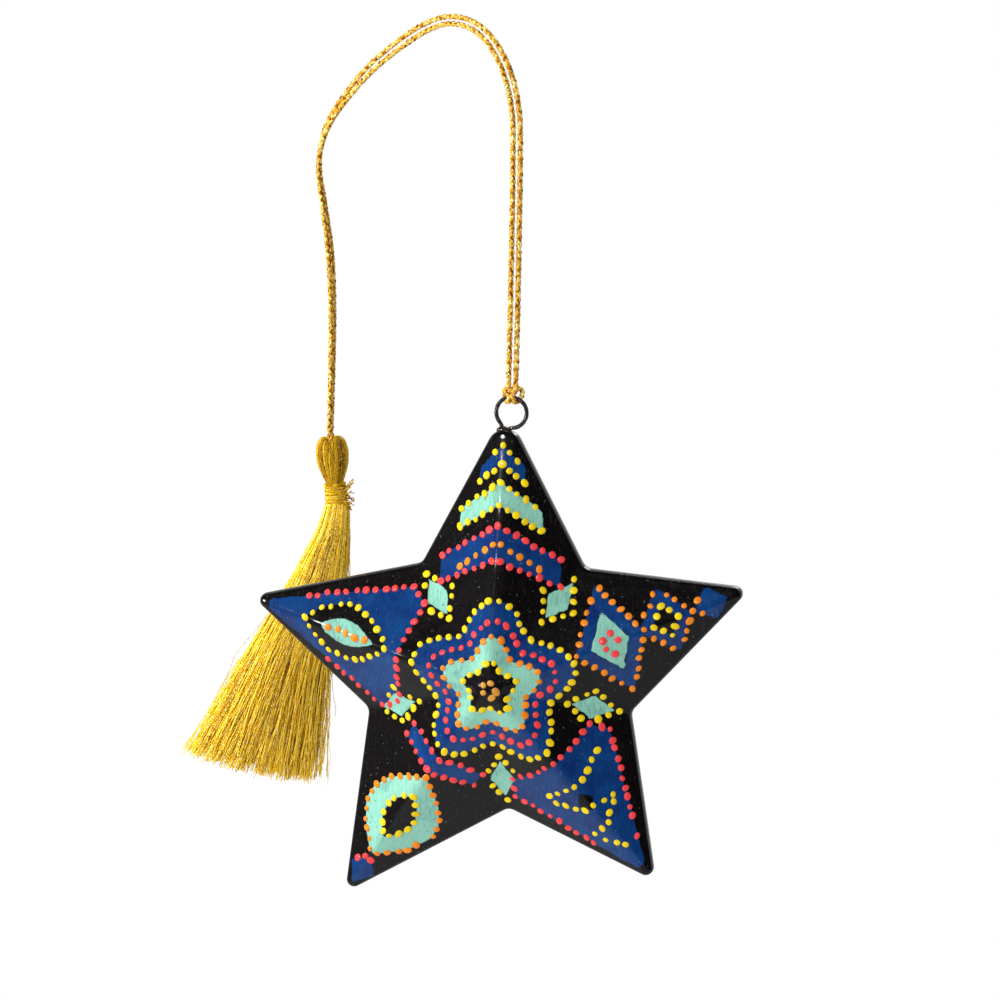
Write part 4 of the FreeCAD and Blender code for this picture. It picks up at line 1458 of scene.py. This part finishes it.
    def make_end_knot(self, settings):
        """The cord's two ends, knotted inside the head."""
        middle = TASSEL_PIVOT - UP * 4.6 * MM
        knot = [middle + Vector((
            (math.sin(a) + 2 * math.sin(2 * a)) * 0.36, (math.cos(a) - 2 * math.cos(2 * a)) * 0.36,
            -math.sin(3 * a) * 0.62)) * MM for a in (TAU * k / 60 for k in range(60))]
        paths = [(knot, True)]
        for side in (-1, 1):
            reach = side * half_pair(settings)
            top = TASSEL_PIVOT + Vector((0, reach, 0.3 * MM))
            foot = middle + Vector((0, reach * 0.6, 0.8 * MM))
            paths.append((straight(top, foot, 10), False))
        end = join("knotted_ends", plaited("end_run", paths, 80, {
            "Yarns Each Way": 2, "Pitch": settings.pitch, "Cord Radius": KNOTTED_CORD_RADIUS,
            "Yarn Radius": 0.00019, "Step": 0.00016, "Lumpiness": 0.4,
            "Material": bpy.data.materials["braided_foil"]}))
        end.data.transform(HEAD_TURN)
        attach(end, "tassel_head")
        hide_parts("cord_end_knot")


# ---------------------------------------------------------------- stage

def make_world(daylight):
    """A white room that lights evenly but is reflected as dark, save from behind the ornament."""
    world = bpy.data.worlds.new("pale_room")
    bpy.context.scene.world = world
    world.use_nodes = True
    world.node_tree.nodes.clear()
    n = Nodes(world.node_tree)
    path = n.add("ShaderNodeLightPath")
    seen, mirrored = path["Is Camera Ray"], path["Is Glossy Ray"].most(path["Is Transmission Ray"])
    direction = n.split(n.add("ShaderNodeTexCoord")["Generated"])
    behind = direction["Y"].ramp(0.05, 0.70)
    below = (-direction["Z"]).ramp(0.05, 0.75)
    aside = (-direction["X"]).ramp(0.30, 0.80)
    dim = 0.02 + below * 0.13 + aside * 0.06
    reflected = dim + (0.55 - dim) * behind
    strength = seen + (1 - seen) * (mirrored * reflected + (1 - mirrored) * daylight)
    light = n.add("ShaderNodeBackground", {"Color": (1, 1, 1, 1), "Strength": strength}).out
    n.add("ShaderNodeOutputWorld", {"Surface": light})


def make_lamp(name, place, size, power):
    """A round lamp aimed at the ornament."""
    lamp = bpy.data.lights.new(name, "AREA")
    lamp.shape = "DISK"
    lamp.size = size
    lamp.energy = power
    obj = linked(name, lamp)
    obj.location = place
    obj.rotation_euler = (LAMP_AIM - Vector(place)).to_track_quat("-Z", "Y").to_euler()
    # The lamp square to the left would show as a glare along the facets.
    obj.visible_glossy = name != "left_lamp"


def make_floor(settings):
    """A round floor far below, which runs out into the white of the room."""
    middle = UP * settings.floor_height
    radii = [settings.floor_radius * share for share in (1.0, 0.9, 0.75, 0.5, 0.25, 0.1, 0.02)]
    rings = [ellipse(middle, AXIS_X * radius, AXIS_Y * radius, 64) for radius in radii]
    points, faces = ring_grid(rings, None, middle)
    floor = new_object("pale_floor", points, (), faces, smooth=False)
    material, n = new_material("pale_floor")
    place = object_place(n)
    spot = n.split(place)
    far = (spot["X"] * spot["X"] + spot["Y"] * spot["Y"]) ** 0.5
    edge = (far / settings.floor_radius).ramp(0.45, 0.98)
    grain = n.noise(place, 40.0, 3.0)
    colour = n.mixed(grain * 0.25, (0.80, 0.80, 0.80, 1), (0.74, 0.74, 0.74, 1))
    matt = n.add("ShaderNodeBsdfPrincipled", {"Base Color": colour, "Roughness": 0.8})["BSDF"]
    plain = n.add("ShaderNodeEmission", {"Color": (1, 1, 1, 1), "Strength": 1.0}).out
    dark = n.add("ShaderNodeEmission", {"Color": (0, 0, 0, 1), "Strength": 0.0}).out
    path = n.add("ShaderNodeLightPath")
    shown = path["Is Camera Ray"].most(path["Is Glossy Ray"]).most(path["Is Transmission Ray"])
    mix = n.add("ShaderNodeMixShader", {0: edge * shown, 1: matt, 2: plain}).out
    mix = n.add("ShaderNodeMixShader", {0: path["Is Glossy Ray"] * 0.6, 1: mix, 2: dark}).out
    n.add("ShaderNodeOutputMaterial", {"Surface": mix})
    floor.data.materials.append(material)


class MakeStage(bpy.types.Operator):
    """Make the camera, the light and the floor"""
    bl_idname = "ornament.make_stage"
    bl_label = "Make Stage"

    def execute(self, context):
        settings = context.scene.ornament.stage
        camera = bpy.data.cameras.new("photo_camera")
        camera.lens = settings.lens
        camera.sensor_width = 36.0
        camera.clip_start = 0.01
        camera.clip_end = 20.0
        viewer = linked("photo_camera", camera)
        viewer.matrix_world = Matrix.Translation(CAMERA_PLACE) @ Matrix(CAMERA_AXES).transposed().to_4x4()
        context.scene.camera = viewer
        context.scene.view_settings.view_transform = "Standard"
        make_world(settings.daylight)
        for name, place, size, power in LAMPS:
            make_lamp(name, place, size, getattr(settings, power))
        make_floor(settings)
        return {"FINISHED"}


# ---------------------------------------------------------------- add-on

class OrnamentSettings(bpy.types.PropertyGroup):
    """Everything that can be changed about the ornament."""
    star: PointerProperty(type=StarSettings)
    cord: PointerProperty(type=CordSettings)
    tassel: PointerProperty(type=TasselSettings)
    stage: PointerProperty(type=StageSettings)


OPERATORS = (MakeStage, MakeCords, MakeHitch, MakeStar, MakeDots, MakeEye, MakeTassel)


class OrnamentPanel(bpy.types.Panel):
    """The ornament's settings and steps"""
    bl_idname = "VIEW3D_PT_ornament"
    bl_label = "Hanging Star Ornament"
    bl_space_type = "VIEW_3D"
    bl_region_type = "UI"
    bl_category = "Ornament"

    def draw(self, context):
        settings = context.scene.ornament
        for name in ("star", "cord", "tassel", "stage"):
            box = self.layout.box()
            box.label(text=name.title())
            group = getattr(settings, name)
            for field in group.bl_rna.properties:
                if field.identifier not in ("rna_type", "name"):
                    box.prop(group, field.identifier)
        for operator in OPERATORS:
            self.layout.operator(operator.bl_idname)


CLASSES = (StarSettings, CordSettings, TasselSettings, StageSettings, OrnamentSettings, *OPERATORS,
           OrnamentPanel)


def register():
    """Adds the classes and the scene's settings to Blender."""
    for cls in CLASSES:
        bpy.utils.register_class(cls)
    bpy.types.Scene.ornament = PointerProperty(type=OrnamentSettings)


def unregister():
    """Takes them away again."""
    del bpy.types.Scene.ornament
    for cls in reversed(CLASSES):
        bpy.utils.unregister_class(cls)


def main():
    """Makes the ornament and its stage."""
    register()
    for operator in OPERATORS:
        group, name = operator.bl_idname.split(".")
        getattr(getattr(bpy.ops, group), name)()


if __name__ == "__main__":
    main()
